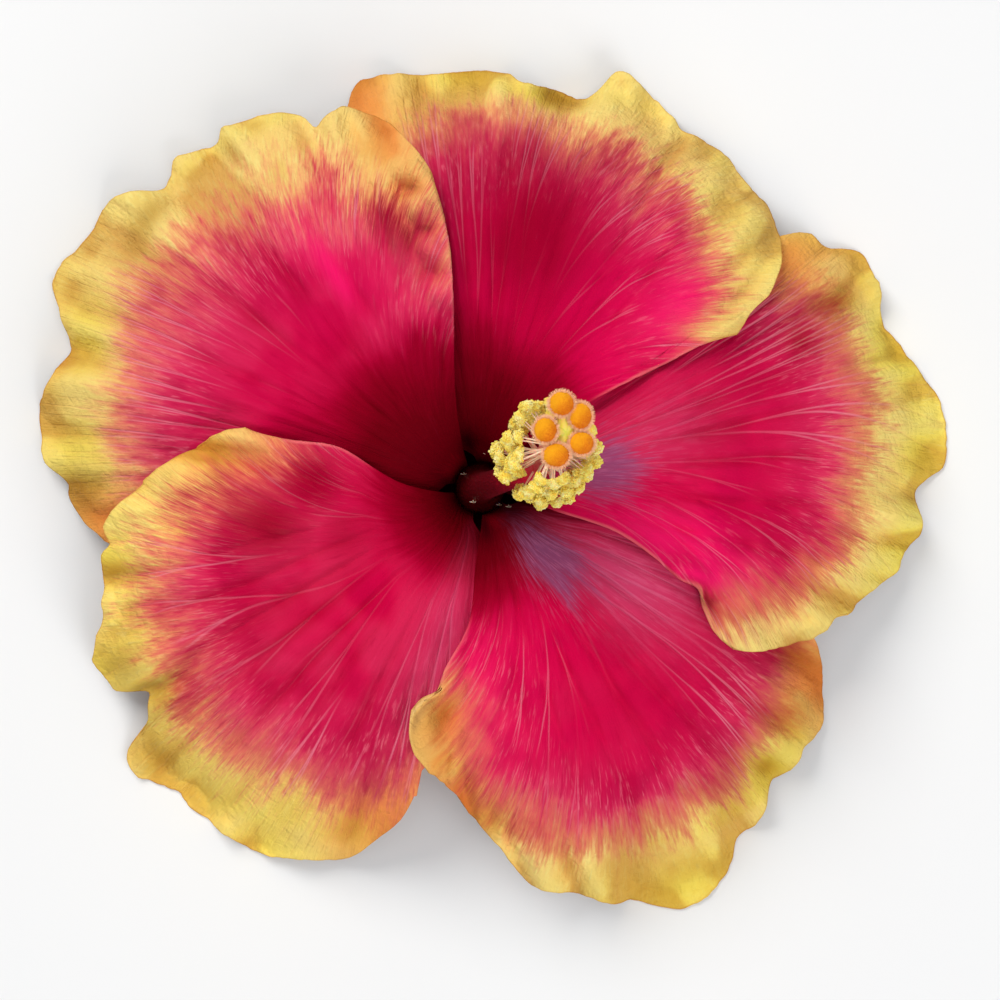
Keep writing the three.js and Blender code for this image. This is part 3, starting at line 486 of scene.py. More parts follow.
class Finish:
    """A material on one Principled shader, whose base colour is built up in layers."""

    def __init__(self, name, settings):
        self.material = bpy.data.materials.new(name)
        self.material.use_nodes = True
        self.tree = self.material.node_tree
        self.surface = self.tree.nodes["Principled BSDF"]
        for socket, value in settings.items():
            self.surface.inputs[socket].default_value = value

    def node(self, kind, settings=None, sockets=None, output=0):
        """Adds a node: its settings or a ramp's stops first, then its sockets' values or links."""
        node = self.tree.nodes.new("ShaderNode" + kind)
        for name, value in (settings or {}).items():
            if name == "stops":
                ramp = node.color_ramp.elements
                while len(ramp) < len(value):
                    ramp.new(0.5)
                for element, (position, colour) in zip(ramp, value):
                    element.position = position
                    element.color = light_of(colour)
            else:
                setattr(node, name, value)
        for socket, value in (sockets or {}).items():
            plug(node.inputs[socket], value)
        return Shade(node.outputs[output])

    def feed(self, socket, value):
        plug(self.surface.inputs[socket], value)

    def parts(self, vector):
        return [Shade(part) for part in self.node("SeparateXYZ", None, {0: vector}).socket.node.outputs]

    def attribute(self, name):
        """The three numbers of a piece's own attribute."""
        return self.parts(self.node("Attribute", {"attribute_name": name}, None, "Vector"))

    def place(self):
        """Object coordinates in millimetres."""
        place = self.node("TexCoord", None, None, "Object")
        return self.node("VectorMath", {"operation": "SCALE"}, {0: place, "Scale": 1 / MM})

    def noise(self, vector, scale=1.0, detail=2.0, roughness=0.5):
        sockets = {"Vector": vector, "Scale": scale, "Detail": detail, "Roughness": roughness}
        return self.node("TexNoise", None, sockets)

    def cells(self, vector, scale):
        return self.node("TexVoronoi", None, {"Vector": vector, "Scale": scale})

    def streaks(self, lane, along, seed, share, close, far, detail):
        """Streaks down the lanes, "close" to a lane's width where share is 0, "far" where it is 1."""

        def layer(count, start):
            place = self.node("CombineXYZ", None, {0: lane * count, 1: along, 2: start})
            return self.noise(place, 1.0, detail, 0.55)

        near = layer(close, seed)
        return near + (layer(far, seed + 3) - near) * share

    def step(self, value, low, high, bottom=0.0, top=1.0):
        """A smooth step from bottom to top as value goes from low to high."""
        ends = {"From Min": low, "From Max": high, "To Min": bottom, "To Max": top}
        return self.node("MapRange", {"interpolation_type": "SMOOTHSTEP"}, {"Value": value, **ends})

    def fall(self, value, low, high):
        return self.step(value, low, high, 1.0, 0.0)

    def ramp(self, value, low, high, stops):
        """A colour that changes with value, by stops of (value, colour)."""
        spread = [((place - low) / (high - low), colour) for place, colour in stops]
        return self.node("ValToRGB", {"stops": spread}, {0: (value - low) / (high - low)})

    def mixed(self, factor, a, b, blend="MIX"):
        settings = {"data_type": "RGBA", "blend_type": blend}
        return self.node("Mix", settings, {0: factor, 6: a, 7: b}, 2)

    def base(self, colour):
        self.colour = colour
        self.feed("Base Color", colour)

    def lay(self, factor, colour, blend="MIX"):
        """Lays a colour over the base colour as it is so far."""
        self.base(self.mixed(factor, self.colour, colour, blend))

    def relief(self, height, distance, strength=1.0):
        """Bumps the surface by a height from 0 to 1 over a distance in mm."""
        sockets = {"Height": height, "Distance": distance * MM, "Strength": strength}
        self.feed("Normal", self.node("Bump", None, sockets))


def petal_finish(name, number, petal, paleness):
    """A petal's colours: eye, blade, veins and streaked yellow border, with its fine relief."""
    finish = Finish(name, {"Roughness": 0.55, "Specular IOR Level": 0.015,
                           "Specular Tint": (1.0, 0.5, 0.5, 1.0)})
    step, fall, lay = finish.step, finish.fall, finish.lay
    lane, along, lane_width = finish.attribute("lie")
    track, swell, lane_across = finish.attribute("vein")
    past, eye, edge = finish.attribute("zone")
    mauve, rays, orange = finish.attribute("patch")
    cloud, worn, sunny = finish.attribute("cast")
    deep, hot, fold_shade = finish.attribute("shade")
    claw_gap_shade, curl, bright = finish.attribute("throat")

    # Streaks and hairlines keep their width where the lanes spread.
    wide = step(lane_width, 5, 16)
    streak = finish.streaks(lane, along / 8, number * 7.3, wide, 60, 270, 3.0)
    hair = finish.streaks(lane, along / 3, number * 3.1, wide, 200, 800, 2.0)
    off_streak, off_hair, off_cloud = streak - 0.5, hair - 0.5, cloud - 0.5

    gap = vein_gap(number, track, along, step) * lane_width
    vein = fall(gap, 0.03, 0.22) * step(worn, 0.34, 0.62)

    # The blade's end is ragged, and so is the eye's.
    ragged = past * petal["steepness"] + off_streak * 7.5 + off_hair * 8 + off_cloud * 6 + 0.8
    ragged = ragged - fall(gap, 0.1, 1.1)
    blade = finish.ramp(ragged, -30, 14, BLADE_COLOURS)
    from_eye = eye + off_streak * 0.3 + off_cloud * 0.35
    centre = finish.ramp(from_eye, 0, 2, EYE_COLOURS)
    finish.base(finish.mixed(step(from_eye, 1.15, 1.75), centre, blade))
    in_blade = step(from_eye, 1.2, 1.9) * fall(ragged, -2, 4)
    in_border = step(ragged, 1, 6)

    # Hotter pink towards the side that lies on top, as painted light, and duller towards the tucked
    # one, as painted shade from the neighbour that lies over it.
    side = lane_across + off_cloud * 0.4
    lay(fall(side, 0.02, 0.45) * in_blade * 0.5, 0xEC0454)
    lay(step(side, 0.55, 1.0) * in_blade * 0.5, 0xA20A38)

    # Clouds, darker and paler strokes, rays and pale veins in the blade.
    lay(step(cloud, 0.3, 0.7) * in_blade * petal["rosy"], 0xEE426C)
    lay(fall(streak, 0.26, 0.42) * in_blade * 0.4, 0xA80334)
    lay(fall(cloud, 0.24, 0.46) * in_blade * 0.25, 0xA00434)
    lay(step(past, -18, -4) * step(hair, 0.52, 0.72) * in_blade * 0.4, 0xF2607E)
    lay(rays * 0.5, 0xE44E7C)
    lay(step(hair + off_streak * 0.6, 0.46, 0.68) * rays * 0.2, 0xEC6E92)
    lay(fall(gap, 0.06, 0.34) * rays * 0.3, 0xDE5C88)
    lay(step(past, -30, -8, 0.2, 1.0) * in_blade * vein * 0.34, 0xF67C98)
    fading = step(past, -15, -5) * fall(ragged, 1, 7)
    lay(fading * vein * 0.2, 0xFFB0BA)
    lay(step(hair, 0.55, 0.7) * fading * 0.14, 0xFCA0A8)
    lay(step(ragged, -6, 0) * fall(ragged, 1, 6) * petal["tan"], 0xC4763E)
    # Hotter pink patches, on the right petal partly painted light.
    lay(hot * in_blade * 0.72, 0xFF1468)
    lay(deep * in_blade * 0.95, 0x9C0126)

    # Lemon, brown, pale and orange patches in the border.
    lay(step(sunny, 0.42, 0.62) * in_border * petal["lemon"], 0xFAE25C)
    lay(step(cloud, 0.54, 0.76) * in_border * 0.28, 0xDCAE48)
    lay(step(hair, 0.52, 0.7) * in_border * 0.3, 0xFFEC96)
    lay(fall(streak, 0.28, 0.42) * in_border * 0.35, 0xDEA854)
    lay(step(ragged, -3, 4) * orange * 0.82, 0xF68A40)
    # Brighter yellow patches, one of them painted light.
    lay(bright * in_border * 0.6, 0xFCE24E)
    lay(vein * in_border * 0.14, 0xE8A05C)

    # The mauve flush has feathered edges and pale hairlines.
    lay(step(mauve * 1.15 + off_streak * 1.1 + off_hair * 0.7, 0.2, 1.1) * 0.78, 0x824A72)
    lay(step(hair, 0.5, 0.68) * mauve * 0.45, 0xC8688E)

    # A curled side gets a painted shadow within and a painted highlight along its edge,
    # and a line runs round the whole rim.
    lay(step(edge, 0.8, 1.3) * fall(edge, 1.4, 2.6) * curl * 0.6, 0x921424)
    lay(fall(edge, 0.5, 1.0) * curl * 0.85, 0xFFC88A)
    rim_line = step(edge, 0.1, 0.55, 0.5, 0.0)
    lay(rim_line * in_border, 0xD8903E)
    lay(rim_line * in_blade, 0xF88280)

    # Dips get painted shade and crests in the border a painted highlight, folds get olive painted shade,
    # and the back is paler all over.
    dip_shade = fall(swell, -1.6, 0.3)
    lay(dip_shade * 0.4, 0xCE96A0, "MULTIPLY")
    lay(dip_shade * in_border * 0.35, 0xDECC82, "MULTIPLY")
    lay(step(swell, 0.1, 1.6) * in_border * 0.25, 0xFFEA8C)
    lay(fold_shade * 0.65, 0xBEA068, "MULTIPLY")
    lay(1.0, petal["tint"], "MULTIPLY")
    # Painted shade round the gaps between the claws.
    lay(claw_gap_shade * 0.8, 0x180005)
    if paleness:
        lay(paleness, 0xEEB896)

    crumpled = abs(finish.noise(finish.place(), 0.42, 3.0) - 0.5) * step(ragged, -6, 6, 0.5, 3.2)
    stroked = streak * 0.6 + hair * step(ragged, -12, 6, 0.3, 1.0) * 0.8
    finish.relief(stroked + crumpled - vein * 0.2, 0.55, 0.6)
    finish.feed("Roughness", step(from_eye, 0.2, 1.6, 0.45, 0.6))
    return finish.material


def column_finish():
    finish = Finish("staminal_tube", {"Roughness": 0.45, "Subsurface Weight": 0.2,
                                      "Subsurface Scale": 0.001})
    place = finish.place()
    streak = finish.noise(finish.node("Mapping", None, {"Vector": place, "Scale": (2.2, 2.2, 0.25)}))
    finish.base(finish.ramp(finish.parts(place)[2] + (streak - 0.5) * 9, 0, 60, COLUMN_COLOURS))
    finish.relief(streak, 0.3)
    return finish.material


def anther_finish():
    finish = Finish("pollen", {"Roughness": 0.8, "Specular IOR Level": 0.2,
                               "Diffuse Roughness": 1.0})
    place = finish.place()
    grains = finish.cells(place, 5.5)
    dusty = finish.noise(place, 0.8, 3.0) + (finish.noise(place, 6.0, 2.0) - 0.5) * 0.5
    finish.base(finish.ramp(dusty, 0.2, 0.8, POLLEN_COLOURS))
    # Painted shade: deeper orange in the crevices between the grains.
    finish.lay(finish.step(grains, 0.4, 0.8) * 0.5, 0xF0A620)
    finish.relief(finish.fall(grains, 0.0, 0.8), 0.1)
    return finish.material


def stigma_finish():
    """Velvety orange, with painted light on each pad's upper left and painted shade on its lower right.
    """
    finish = Finish("stigma_pad", {"Roughness": 0.8, "Specular IOR Level": 0.2,
                                   "Diffuse Roughness": 0.2})
    place = finish.place()
    velvet = finish.cells(place, 7.0)
    patch = (finish.noise(place, 1.2) - 0.5) * 0.5
    # Painted light and shade across each pad, from its lower right to its upper left.
    sunny = finish.step(finish.attribute("lie")[0] + patch, -0.7, 0.6)
    finish.base(finish.mixed(sunny, 0xE66800, 0xFFAA0C))
    finish.lay(finish.step(velvet, 0.2, 0.7) * 0.3, 0xFFBA1E)
    finish.relief(finish.fall(velvet, 0.0, 0.7), 0.09)
    return finish.material


def style_finish():
    finish = Finish("style_fork", {"Roughness": 0.5, "Subsurface Weight": 0.3,
                                   "Subsurface Scale": 0.0006})
    place = finish.place()
    up = finish.parts(place)[2] + (finish.noise(place, 1.5) - 0.5)
    finish.base(finish.ramp(up, 30, 62, STYLE_COLOURS))
    return finish.material


def patchy_finish(name, settings, scale, one, other):
    """A plain finish in soft patches of two colours."""
    finish = Finish(name, settings)
    finish.base(finish.mixed(finish.noise(finish.place(), scale), one, other))
    return finish.material


def green_finish(name, light, dark, throat=None):
    """A matt green with paler ribs. Above the height "throat" it is painted shade, near-black."""
    finish = Finish(name, {"Roughness": 0.6, "Sheen Weight": 0.2, "Subsurface Weight": 0.1,
                           "Subsurface Scale": 0.001})
    place = finish.place()
    lane = finish.attribute("lie")[0]
    rib = finish.step(abs(lane % 1 - 0.5) * 2, 0.82, 1.0)
    speckle = finish.noise(place, 5.0)
    finish.base(finish.mixed(finish.noise(place, 0.35, 3.0), dark, light))
    finish.lay(rib * 0.5, 0xAABA6E)
    finish.lay(finish.step(speckle, 0.6, 0.75) * 0.4, 0x96A860)
    if throat:
        # Painted shade: near-black above that height.
        finish.lay(finish.step(finish.parts(place)[2], throat - 0.5, throat + 0.3), 0x180103)
    finish.relief(rib * 0.8 + speckle * 0.3, 0.3)
    return finish.material


# Meshes


def deselect():
    for piece in bpy.context.selected_objects:
        piece.select_set(False)


def added(primitive, **sizes):
    """A new piece that starts as one of Blender's primitives."""
    deselect()
    primitive(**sizes)
    return bpy.context.object


def corners(piece):
    """A piece's vertices, as rows of x, y and z."""
    places = np.empty(len(piece.data.vertices) * 3)
    piece.data.vertices.foreach_get("co", places)
    return places.reshape(-1, 3)


def move_corners(piece, places):
    piece.data.vertices.foreach_set("co", np.ascontiguousarray(places, float).ravel())
    piece.data.update()


def put_round_axis(piece, x, y, z):
    """Moves a piece's vertices to places round the flower's axis, in mm."""
    move_corners(piece, np.stack([x + AXIS.x, y + AXIS.y, z], -1) * MM)


def sheet(columns, rows):
    """A flat grid, and how far across and up it each vertex lies, from 0 to 1."""
    piece = added(
        bpy.ops.mesh.primitive_grid_add, x_subdivisions=columns, y_subdivisions=rows, size=2
    )
    across, up, _ = (corners(piece).T + 1) / 2
    return piece, across, up


def walled(piece, thickness, inside=0):
    """Gives a sheet its thickness. Its inner face takes the material that many slots further on."""
    bpy.context.view_layer.objects.active = piece
    wall = piece.modifiers.new("wall", "SOLIDIFY")
    wall.thickness = thickness * MM
    wall.offset = 0.0
    wall.material_offset = inside
    bpy.ops.object.modifier_apply(modifier=wall.name)


def settle(piece):
    """Moves a piece's place into its mesh."""
    deselect()
    piece.select_set(True)
    bpy.context.view_layer.objects.active = piece
    bpy.ops.object.transform_apply(location=True, rotation=True, scale=True)


def add_attribute(piece, name, *values):
    rows = np.zeros((len(piece.data.vertices), 3))
    for column, value in enumerate(values):
        rows[:, column] = value
    layer = piece.data.attributes.new(name, "FLOAT_VECTOR", "POINT")
    layer.data.foreach_set("vector", rows.ravel())


def joined(pieces):
    """Joins pieces into the first one."""
    deselect()
    for piece in pieces:
        piece.select_set(True)
    bpy.context.view_layer.objects.active = pieces[0]
    bpy.ops.object.join()
    return pieces[0]


def painted(piece, *materials):
    piece.data.materials.clear()
    for material in materials:
        piece.data.materials.append(material)
    return piece


def finished(piece, node):
    """Puts a finished piece on the flower in place of its solid."""
    piece.name = node + "_look"
    for face in piece.data.polygons:
        face.use_smooth = True
    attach(piece, "root")
    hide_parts(node)


def in_scene(name, data):
    holder = bpy.data.objects.new(name, data)
    bpy.context.scene.collection.objects.link(holder)
    return holder


def copies(name, pattern, places):
    """One mesh with a copy of the pattern's mesh at each matrix, in place of the pattern."""
    points = np.c_[corners(pattern), np.ones(len(pattern.data.vertices))]
    faces = [tuple(face.vertices) for face in pattern.data.polygons]
    everywhere = np.concatenate([(points @ np.array(place).T)[:, :3] for place in places])
    every_face = [
        tuple(index + turn * len(points) for index in face)
        for turn in range(len(places))
        for face in faces
    ]
    mesh = bpy.data.meshes.new(name)
    mesh.from_pydata(everywhere.tolist(), [], every_face)
    bpy.data.objects.remove(pattern)
    return in_scene(name, mesh)


def tube(stations, sides):
    """A closed tube through stations of (centre in mm, radius in mm), square to its own line."""
    centres = [Vector(centre) for centre, _ in stations]
    last = len(centres) - 1
    piece = added(bpy.ops.mesh.primitive_circle_add, vertices=sides, radius=1.0, fill_type="NGON")
    bpy.ops.object.mode_set(mode="EDIT")
    bpy.ops.mesh.select_all(action="SELECT")
    for _ in range(last):
        bpy.ops.mesh.extrude_region_move(TRANSFORM_OT_translate={"value": (0, 0, 1)})
    bpy.ops.mesh.select_all(action="SELECT")
    bpy.ops.mesh.normals_make_consistent(inside=False)
    bpy.ops.object.mode_set(mode="OBJECT")
    straight = corners(piece)
    places = np.zeros_like(straight)
    for level, (centre, radius) in enumerate(stations):
        ring = np.isclose(straight[:, 2], level, atol=0.01)
        ahead = centres[min(level + 1, last)] - centres[max(level - 1, 0)]
        turn = np.array(Vector((0, 0, 1)).rotation_difference(ahead).to_matrix())
        places[ring] = straight[ring] * (radius, radius, 0) @ turn.T + np.array(centre)
    put_round_axis(piece, *places.T)
    return piece


# Petals


def trumpet_out(along, bearing):
    out = through(TRUMPET, along)
    first = WIDENING[0][0]
    widening = through(WIDENING, (bearing - first) % 360 + first) - 1
    return out * (1 + widening * smooth((out - WIDENS_FROM) / WIDENED_BY))


def petal_bearing(petal, across, along):
    return mix(through(petal["over"], along), through(petal["under"], along), across)


def rim_along(petal, across):
    """How far along a petal its rim lies, for shares of the way across."""
    low = np.zeros_like(across)
    high = np.full_like(across, TRUMPET[-1][0])
    for _ in range(40):
        middle = (low + high) / 2
        bearing = petal_bearing(petal, across, middle)
        short = trumpet_out(middle, bearing) < through(petal["rim"], bearing)
        low, high = np.where(short, middle, low), np.where(short, high, middle)
    return low


def past_line(x, y, rows):
    """How far places lie past a line of (bearing, out) rows, and below 0 on the axis's side."""
    line = [(out * math.cos(math.radians(at)), out * math.sin(math.radians(at))) for at, out in rows]
    distance = np.full_like(x, np.inf)
    for (x0, y0), (x1, y1) in zip(line, line[1:]):
        run, rise = x1 - x0, y1 - y0
        share = np.clip(((x - x0) * run + (y - y0) * rise) / (run * run + rise * rise), 0, 1)
        distance = np.minimum(distance, np.hypot(x - x0 - share * run, y - y0 - share * rise))
    inside = np.zeros(x.shape, bool)
    ring = [*line, (0.0, 0.0)]
    for (x0, y0), (x1, y1) in zip(ring, [*ring[1:], ring[0]]):
        if y0 != y1:
            crossed = (y0 > y) != (y1 > y)
            inside ^= crossed & (x < (x1 - x0) * (y - y0) / (y1 - y0) + x0)
    return np.where(inside, -distance, distance)


def above_table(up, lowest, bend):
    """Heights that land softly on the table: those within the bend of the lowest are curved."""
    depth = up - lowest
    bent = lowest + (depth + bend) ** 2 / (4 * bend)
    return np.where(depth >= bend, up, np.where(depth <= -bend, lowest, bent))


def fanned(lane, out):
    """The lane at the claw that leads to a place, and how close the lanes still are there."""
    spread = mix(FAN["on_top"], FAN["tucked"], smooth((lane - FAN["middle"] + 0.15) / 0.3))
    past_start = FAN["softly"] * np.log1p(np.exp((out - FAN["from"]) / FAN["softly"]))
    closeness = (1 + past_start / FAN["from"]) ** -spread
    return FAN["middle"] + (lane - FAN["middle"]) * closeness, closeness


def spot(row, bearing, out):
    """How near places are to the middle of a fold or a patch, from 0 to 1."""
    at, reach, turn, spread = row[:4]
    return bell((bearing - at) / turn) * bell((out - reach) / spread)


def swellings(rows, bearing, out):
    return sum(row[4] * spot(row, bearing, out) for row in rows)


def patches(rows, bearing, out):
    """How far places lie within any of some patches, by their strengths."""
    within = np.zeros_like(out)
    for at, reach, turn, spread, *strength in rows:
        off = (bearing - at + 180) % 360 - 180
        patch = spot((0, reach, turn, spread), off, out)
        within = np.maximum(within, patch * (strength[0] if strength else 1))
    return within


def petal_relief(number, petal, lane, across, bearing, out, along, from_rim):
    """The waves, pleats, creases, crinkles and frill that a petal has over its solid, in mm."""
    angle = np.radians(bearing)
    x, y = out * np.cos(angle), out * np.sin(angle)
    arc = angle * MEASURED_AT
    free = smooth(across / 0.1) * smooth((1 - across) / 0.3)
    open_part = smooth((out - 14) / 26) * (1 - 0.7 * smooth((across - 0.62) / 0.28))
    near_rim = bell(from_rim / 12)
    stagger = grain(arc / 2.3, 0, seed=number + 50)
    pleats = sum(
        grain(lane * count, along / length, seed=number + seed) * height
        for count, length, height, seed in PLEATS
    )
    dents = (clouds(x / 9, y / 9, number + 60) - 0.5) * 2.4
    pillows = grain(x / 2.6, y / 2.6, seed=number + 30) * 0.14
    frill = grain(arc / 4.6, from_rim / 16 + stagger / 4, seed=number + 9)
    frill *= bell(from_rim / 8.5) * 3.0
    crepe = grain(arc / 1.5, from_rim / 8 + stagger, seed=number + 13) * near_rim * 0.3
    pucker = (clouds(x / 3.4, y / 3.4, number + 21) - 0.5) * near_rim * 2.0
    creases = swellings(petal["creases"], bearing, out) * (1 + 0.5 * bell(from_rim / 14))
    broad = (pleats + dents + pillows) * open_part
    return broad + creases + (frill + crepe + pucker) * (0.35 + 0.65 * free)


def make_petal(name, number, petal):
    piece, across, share = sheet(*PETAL_CELLS)
    across = 1 - across
    share = 1 - (1 - share) ** 1.25
    lanes, lane_of = np.unique(np.round(across, 6), return_inverse=True)
    nibbled = 0.3 * grain(lanes * 62, 0, seed=number) + 0.2 * grain(lanes * 130, 0, seed=number)
    rim = (rim_along(petal, lanes) + nibbled)[lane_of]
    along = mix(TRUMPET[0][0], rim, share)
    from_rim = rim - along
    bearing = petal_bearing(petal, across, along)
    out = trumpet_out(along, bearing)
    angle = np.radians(bearing)
    x, y = out * np.cos(angle), out * np.sin(angle)

    root = np.minimum(along, VEINS["straight_from"])
    start, end = through(petal["over"], root), through(petal["under"], root)
    lane, closeness = fanned((bearing - start) / (end - start), out)
    track = lane * VEINS["lanes"] + VEINS["sway"] * grain(lane * 3, along / 50, seed=number + 40)
    lane_width = np.radians(end - start) * out / VEINS["lanes"] / closeness
    relief = petal_relief(number, petal, lane, across, bearing, out, along, from_rim)
    past = past_line(x, y, petal["blush"])
    veined = smooth((out - 10) / 12) * (1 - 0.75 * smooth((past + 4) / 9))
    # The face is drawn in along its veins and swells between them.
    gap = vein_gap(number, track, along, smooth_step) * lane_width
    relief -= (0.22 * bell(gap / 0.7) - 0.25 * smooth(gap / 3)) * veined
    fade = smooth(across / 0.12) * smooth((1 - across) / 0.25)
    wave = np.sin(2 * np.pi * bearing / RIPPLE["wavelength"])
    ripple = RIPPLE["rise"] * fade * bell(from_rim / RIPPLE["reach"]) * wave
    lift = swellings(petal["folds"], bearing, out) + ripple + relief

    # The petal leaves the trumpet's face at a right angle, and bends where it meets the table.
    rise = through(TRUMPET, along + 0.5, 2) - through(TRUMPET, along - 0.5, 2)
    run = through(TRUMPET, along + 0.5) - through(TRUMPET, along - 0.5)
    length = np.hypot(rise, run)
    upward = np.where(rise > 0, run / length, 1)
    stack = through(STACK_GAP, along) * (petal["bearing"] - bearing) / PETAL_PITCH
    reach = out - (stack + lift) * np.where(rise > 0, rise / length, 0)
    droop = through(TRUMPET, along, 2) + stack * upward
    droop = above_table(droop, TABLE_CLEARANCE + TABLE_LIFT, TABLE_BEND)
    up = above_table(droop + lift * upward, TABLE_CLEARANCE, TABLE_LIFT)
    put_round_axis(piece, reach * np.cos(angle), reach * np.sin(angle), up)

    sector = np.abs(through(petal["under"], along) - through(petal["over"], along))
    from_side = across * np.radians(sector) * out
    mauve, rays, orange, deep, hot, fold_shade, curl, bright = (
        patches(petal.get(kind, []), bearing, out)
        for kind in ("mauve", "rays", "orange", "deep", "hot", "fold_shade", "curl", "bright")
    )
    cloud = clouds(x / 8, y / 8, number + 70)
    worn = clouds(lane * 16, along / 20, number + 80)
    sunny = clouds(lane * 6, along / 15, number + 90)
    add_attribute(piece, "cast", cloud, worn, sunny)
    add_attribute(piece, "lie", lane, along, lane_width)
    add_attribute(piece, "vein", track, relief, across)
    add_attribute(piece, "zone", past, out / mix(*petal["eye"], across), np.minimum(from_rim, from_side))
    add_attribute(piece, "patch", mauve, rays, orange)
    add_attribute(piece, "shade", deep, hot, fold_shade)
    add_attribute(piece, "throat", patches(CLAW_GAP_SHADE, bearing, out), curl, bright)
    face = petal_finish(name + "_face", number, petal, 0.0)
    back = petal_finish(name + "_back", number, petal, 0.35)
    painted(piece, face, back)
    walled(piece, PETAL_THICKNESS, inside=1)
    finished(piece, name)


# Column and stamens


def column_point(up):
    return Vector((float(through(COLUMN_LINE, up, 1)), float(through(COLUMN_LINE, up, 2)), up))


def column_radius(up):
    share = (up - COLUMN["foot"]) / (COLUMN["top"] - COLUMN["foot"])
    neck = mix(COLUMN["neck_radius"], COLUMN["top_radius"], share)
    return neck + (COLUMN["foot_radius"] - neck) * math.exp(-(((up - COLUMN["foot"]) / 6) ** 2))


def anther_pattern(number):
    """A kidney-shaped anther under a coat of pollen, at the origin."""
    draw = draws_from(100 + number)
    body = added(bpy.ops.mesh.primitive_ico_sphere_add, subdivisions=3, radius=0.5)
    ball = added(bpy.ops.mesh.primitive_ico_sphere_add, subdivisions=1, radius=1.0)
    stretch = Vector([1 / side for side in ANTHER])
    pollen = []
    for _ in range(POLLEN["grains"]):
        up = 2 * next(draw) - 1
        turn = 2 * math.pi * next(draw)
        flat = math.sqrt(1 - up * up)
        place = Vector((flat * math.cos(turn), flat * math.sin(turn), up)) * 0.5
        size = mix(POLLEN["least"], POLLEN["most"], next(draw) ** 2)
        pollen.append(Matrix.Translation(place) @ Matrix.Diagonal((*(stretch * size), 1)))
    piece = joined([body, copies("pollen", ball, pollen)])
    places = corners(piece)
    x, y, z = places.T
    knobs = grain(x * 6, y * 6, z * 6, seed=number)
    knobs = knobs + 0.6 * grain(x * 13, y * 13, z * 13, seed=number + 5)
    x, y, z = (places * (1 + 0.16 * knobs)[:, None]).T
    groove = 1 - 0.22 * bell(y / 0.12) * (z > 0)
    bend = 0.35 * (2 * x) ** 2
    move_corners(piece, np.stack([x, y, z * groove - bend], -1) * np.array(ANTHER))
    return piece


def stamen_places(seed, each):
    """Root, tip and anther turn of every stamen. Seed 7 and 12 each are those of the solids."""
    draw = draws_from(seed)
    stamens = []
    for group, share in STAMEN_GROUPS:
        for i in range(each):
            up = mix(STAMENS["from"], STAMENS["to"], (i + next(draw)) / each)
            turn = STAMENS["fan"] * (2 * ((i * 0.618) % 1) - 1) + 5 * (next(draw) - 0.5)
            bearing = math.radians(group + turn)
            side = Vector((math.cos(bearing), math.sin(bearing), 0.05 + 0.25 * next(draw)))
            centre = column_point(up)
            reach = mix(STAMENS["nearest"], STAMENS["furthest"], math.sqrt(next(draw))) * share
            root = centre + side * (column_radius(up) * 0.85)
            roll, swing = next(draw) * math.pi, bearing + math.pi / 2 + 0.8 * (next(draw) - 0.5)
            spin = Euler((0, 0, swing)).to_matrix() @ Euler((roll, 0, 0)).to_matrix()
            stamens.append((root, centre + side * reach, spin.to_4x4()))
    return stamens


def filament(root, tip):
    """A slender filament that sags a little on its way to the anther."""
    stations = []
    for step in range(6):
        share = step / 5
        centre = root.lerp(tip, share)
        centre.z -= FILAMENT["sag"] * math.sin(math.pi * share) * (tip - root).length
        stations.append((centre, mix(FILAMENT["root"], FILAMENT["tip"], share)))
    return tube(stations, 7)


def tuft(bearing, out, up):
    turn = math.radians(bearing)
    foot = Vector((out * math.cos(turn), out * math.sin(turn), up))
    tips = [foot + Vector((lean - 0.2, 0.4 - lean * lean, 0.7)) for lean in TUFT_LEANS]
    return [tube([(foot, 0.12), (foot.lerp(tip, 0.6), 0.1), (tip, 0.04)], 5) for tip in tips]


def make_column():
    foot, top = COLUMN["foot"], COLUMN["top"]
    ups = [mix(foot, top, step / 40) for step in range(41)]
    core = tube([
        (column_point(foot - 0.8), COLUMN["foot_radius"] + 0.7),
        *((column_point(up), column_radius(up)) for up in ups),
        (column_point(top + 0.5), COLUMN["top_radius"] * 0.7),
    ], 40)
    painted(core, column_finish())

    stamens = stamen_places(7, STAMENS["each"]) + stamen_places(31, STAMENS["more"])
    threads = [filament(root, tip) for root, tip, _ in stamens]
    for place in TUFTS:
        threads += tuft(*place)
    soft = {"Roughness": 0.4, "Subsurface Weight": 0.3, "Subsurface Scale": 0.0006}
    pink = patchy_finish("filament", soft, 0.9, 0xFDC09C, 0xFFEAD0)
    threads = painted(joined(threads), pink)

    coats = []
    for number in range(4):
        chosen = [FROM_AXIS @ Matrix.Translation(tip) @ spin for _, tip, spin in stamens[number::4]]
        coats.append(copies("anthers", anther_pattern(number), chosen))
    anthers = painted(joined(coats), anther_finish())
    finished(joined([core, threads, anthers]), "staminal_column")


# Pistil


def style_tube():
    foot = COLUMN["foot"]
    neck, top = foot + OVARY["height"], STYLE["top"]
    widths = [(foot, OVARY["radius"] * 0.8), (foot + 1.5, OVARY["radius"]),
              (neck - 2, OVARY["radius"] * 0.85), (neck, STYLE["radius"])]
    for step in range(1, 17):
        up = mix(neck, top, step / 16)
        widths.append((up, STYLE["radius"] * (1 + 1.3 * smooth((up - STYLE["flares_from"]) / 3))))
    widths.append((top + 0.45, STYLE["radius"] * 1.3))
    return tube([(column_point(up), width) for up, width in widths], 20)


def style_branch(fork, pad):
    """A short branch from the style's fork into a pad, thicker at the fork."""
    elbow = fork.lerp(pad, 0.55) + Vector((0, 0, -0.5))
    line = []
    for step in range(9):
        share = step / 8
        centre = fork * (1 - share) ** 2 + elbow * 2 * share * (1 - share) + pad * share**2
        line.append((centre, STIGMA["branch_radius"] * mix(2.3, 0.9, smooth(share * 1.3))))
    return tube(line, 12)


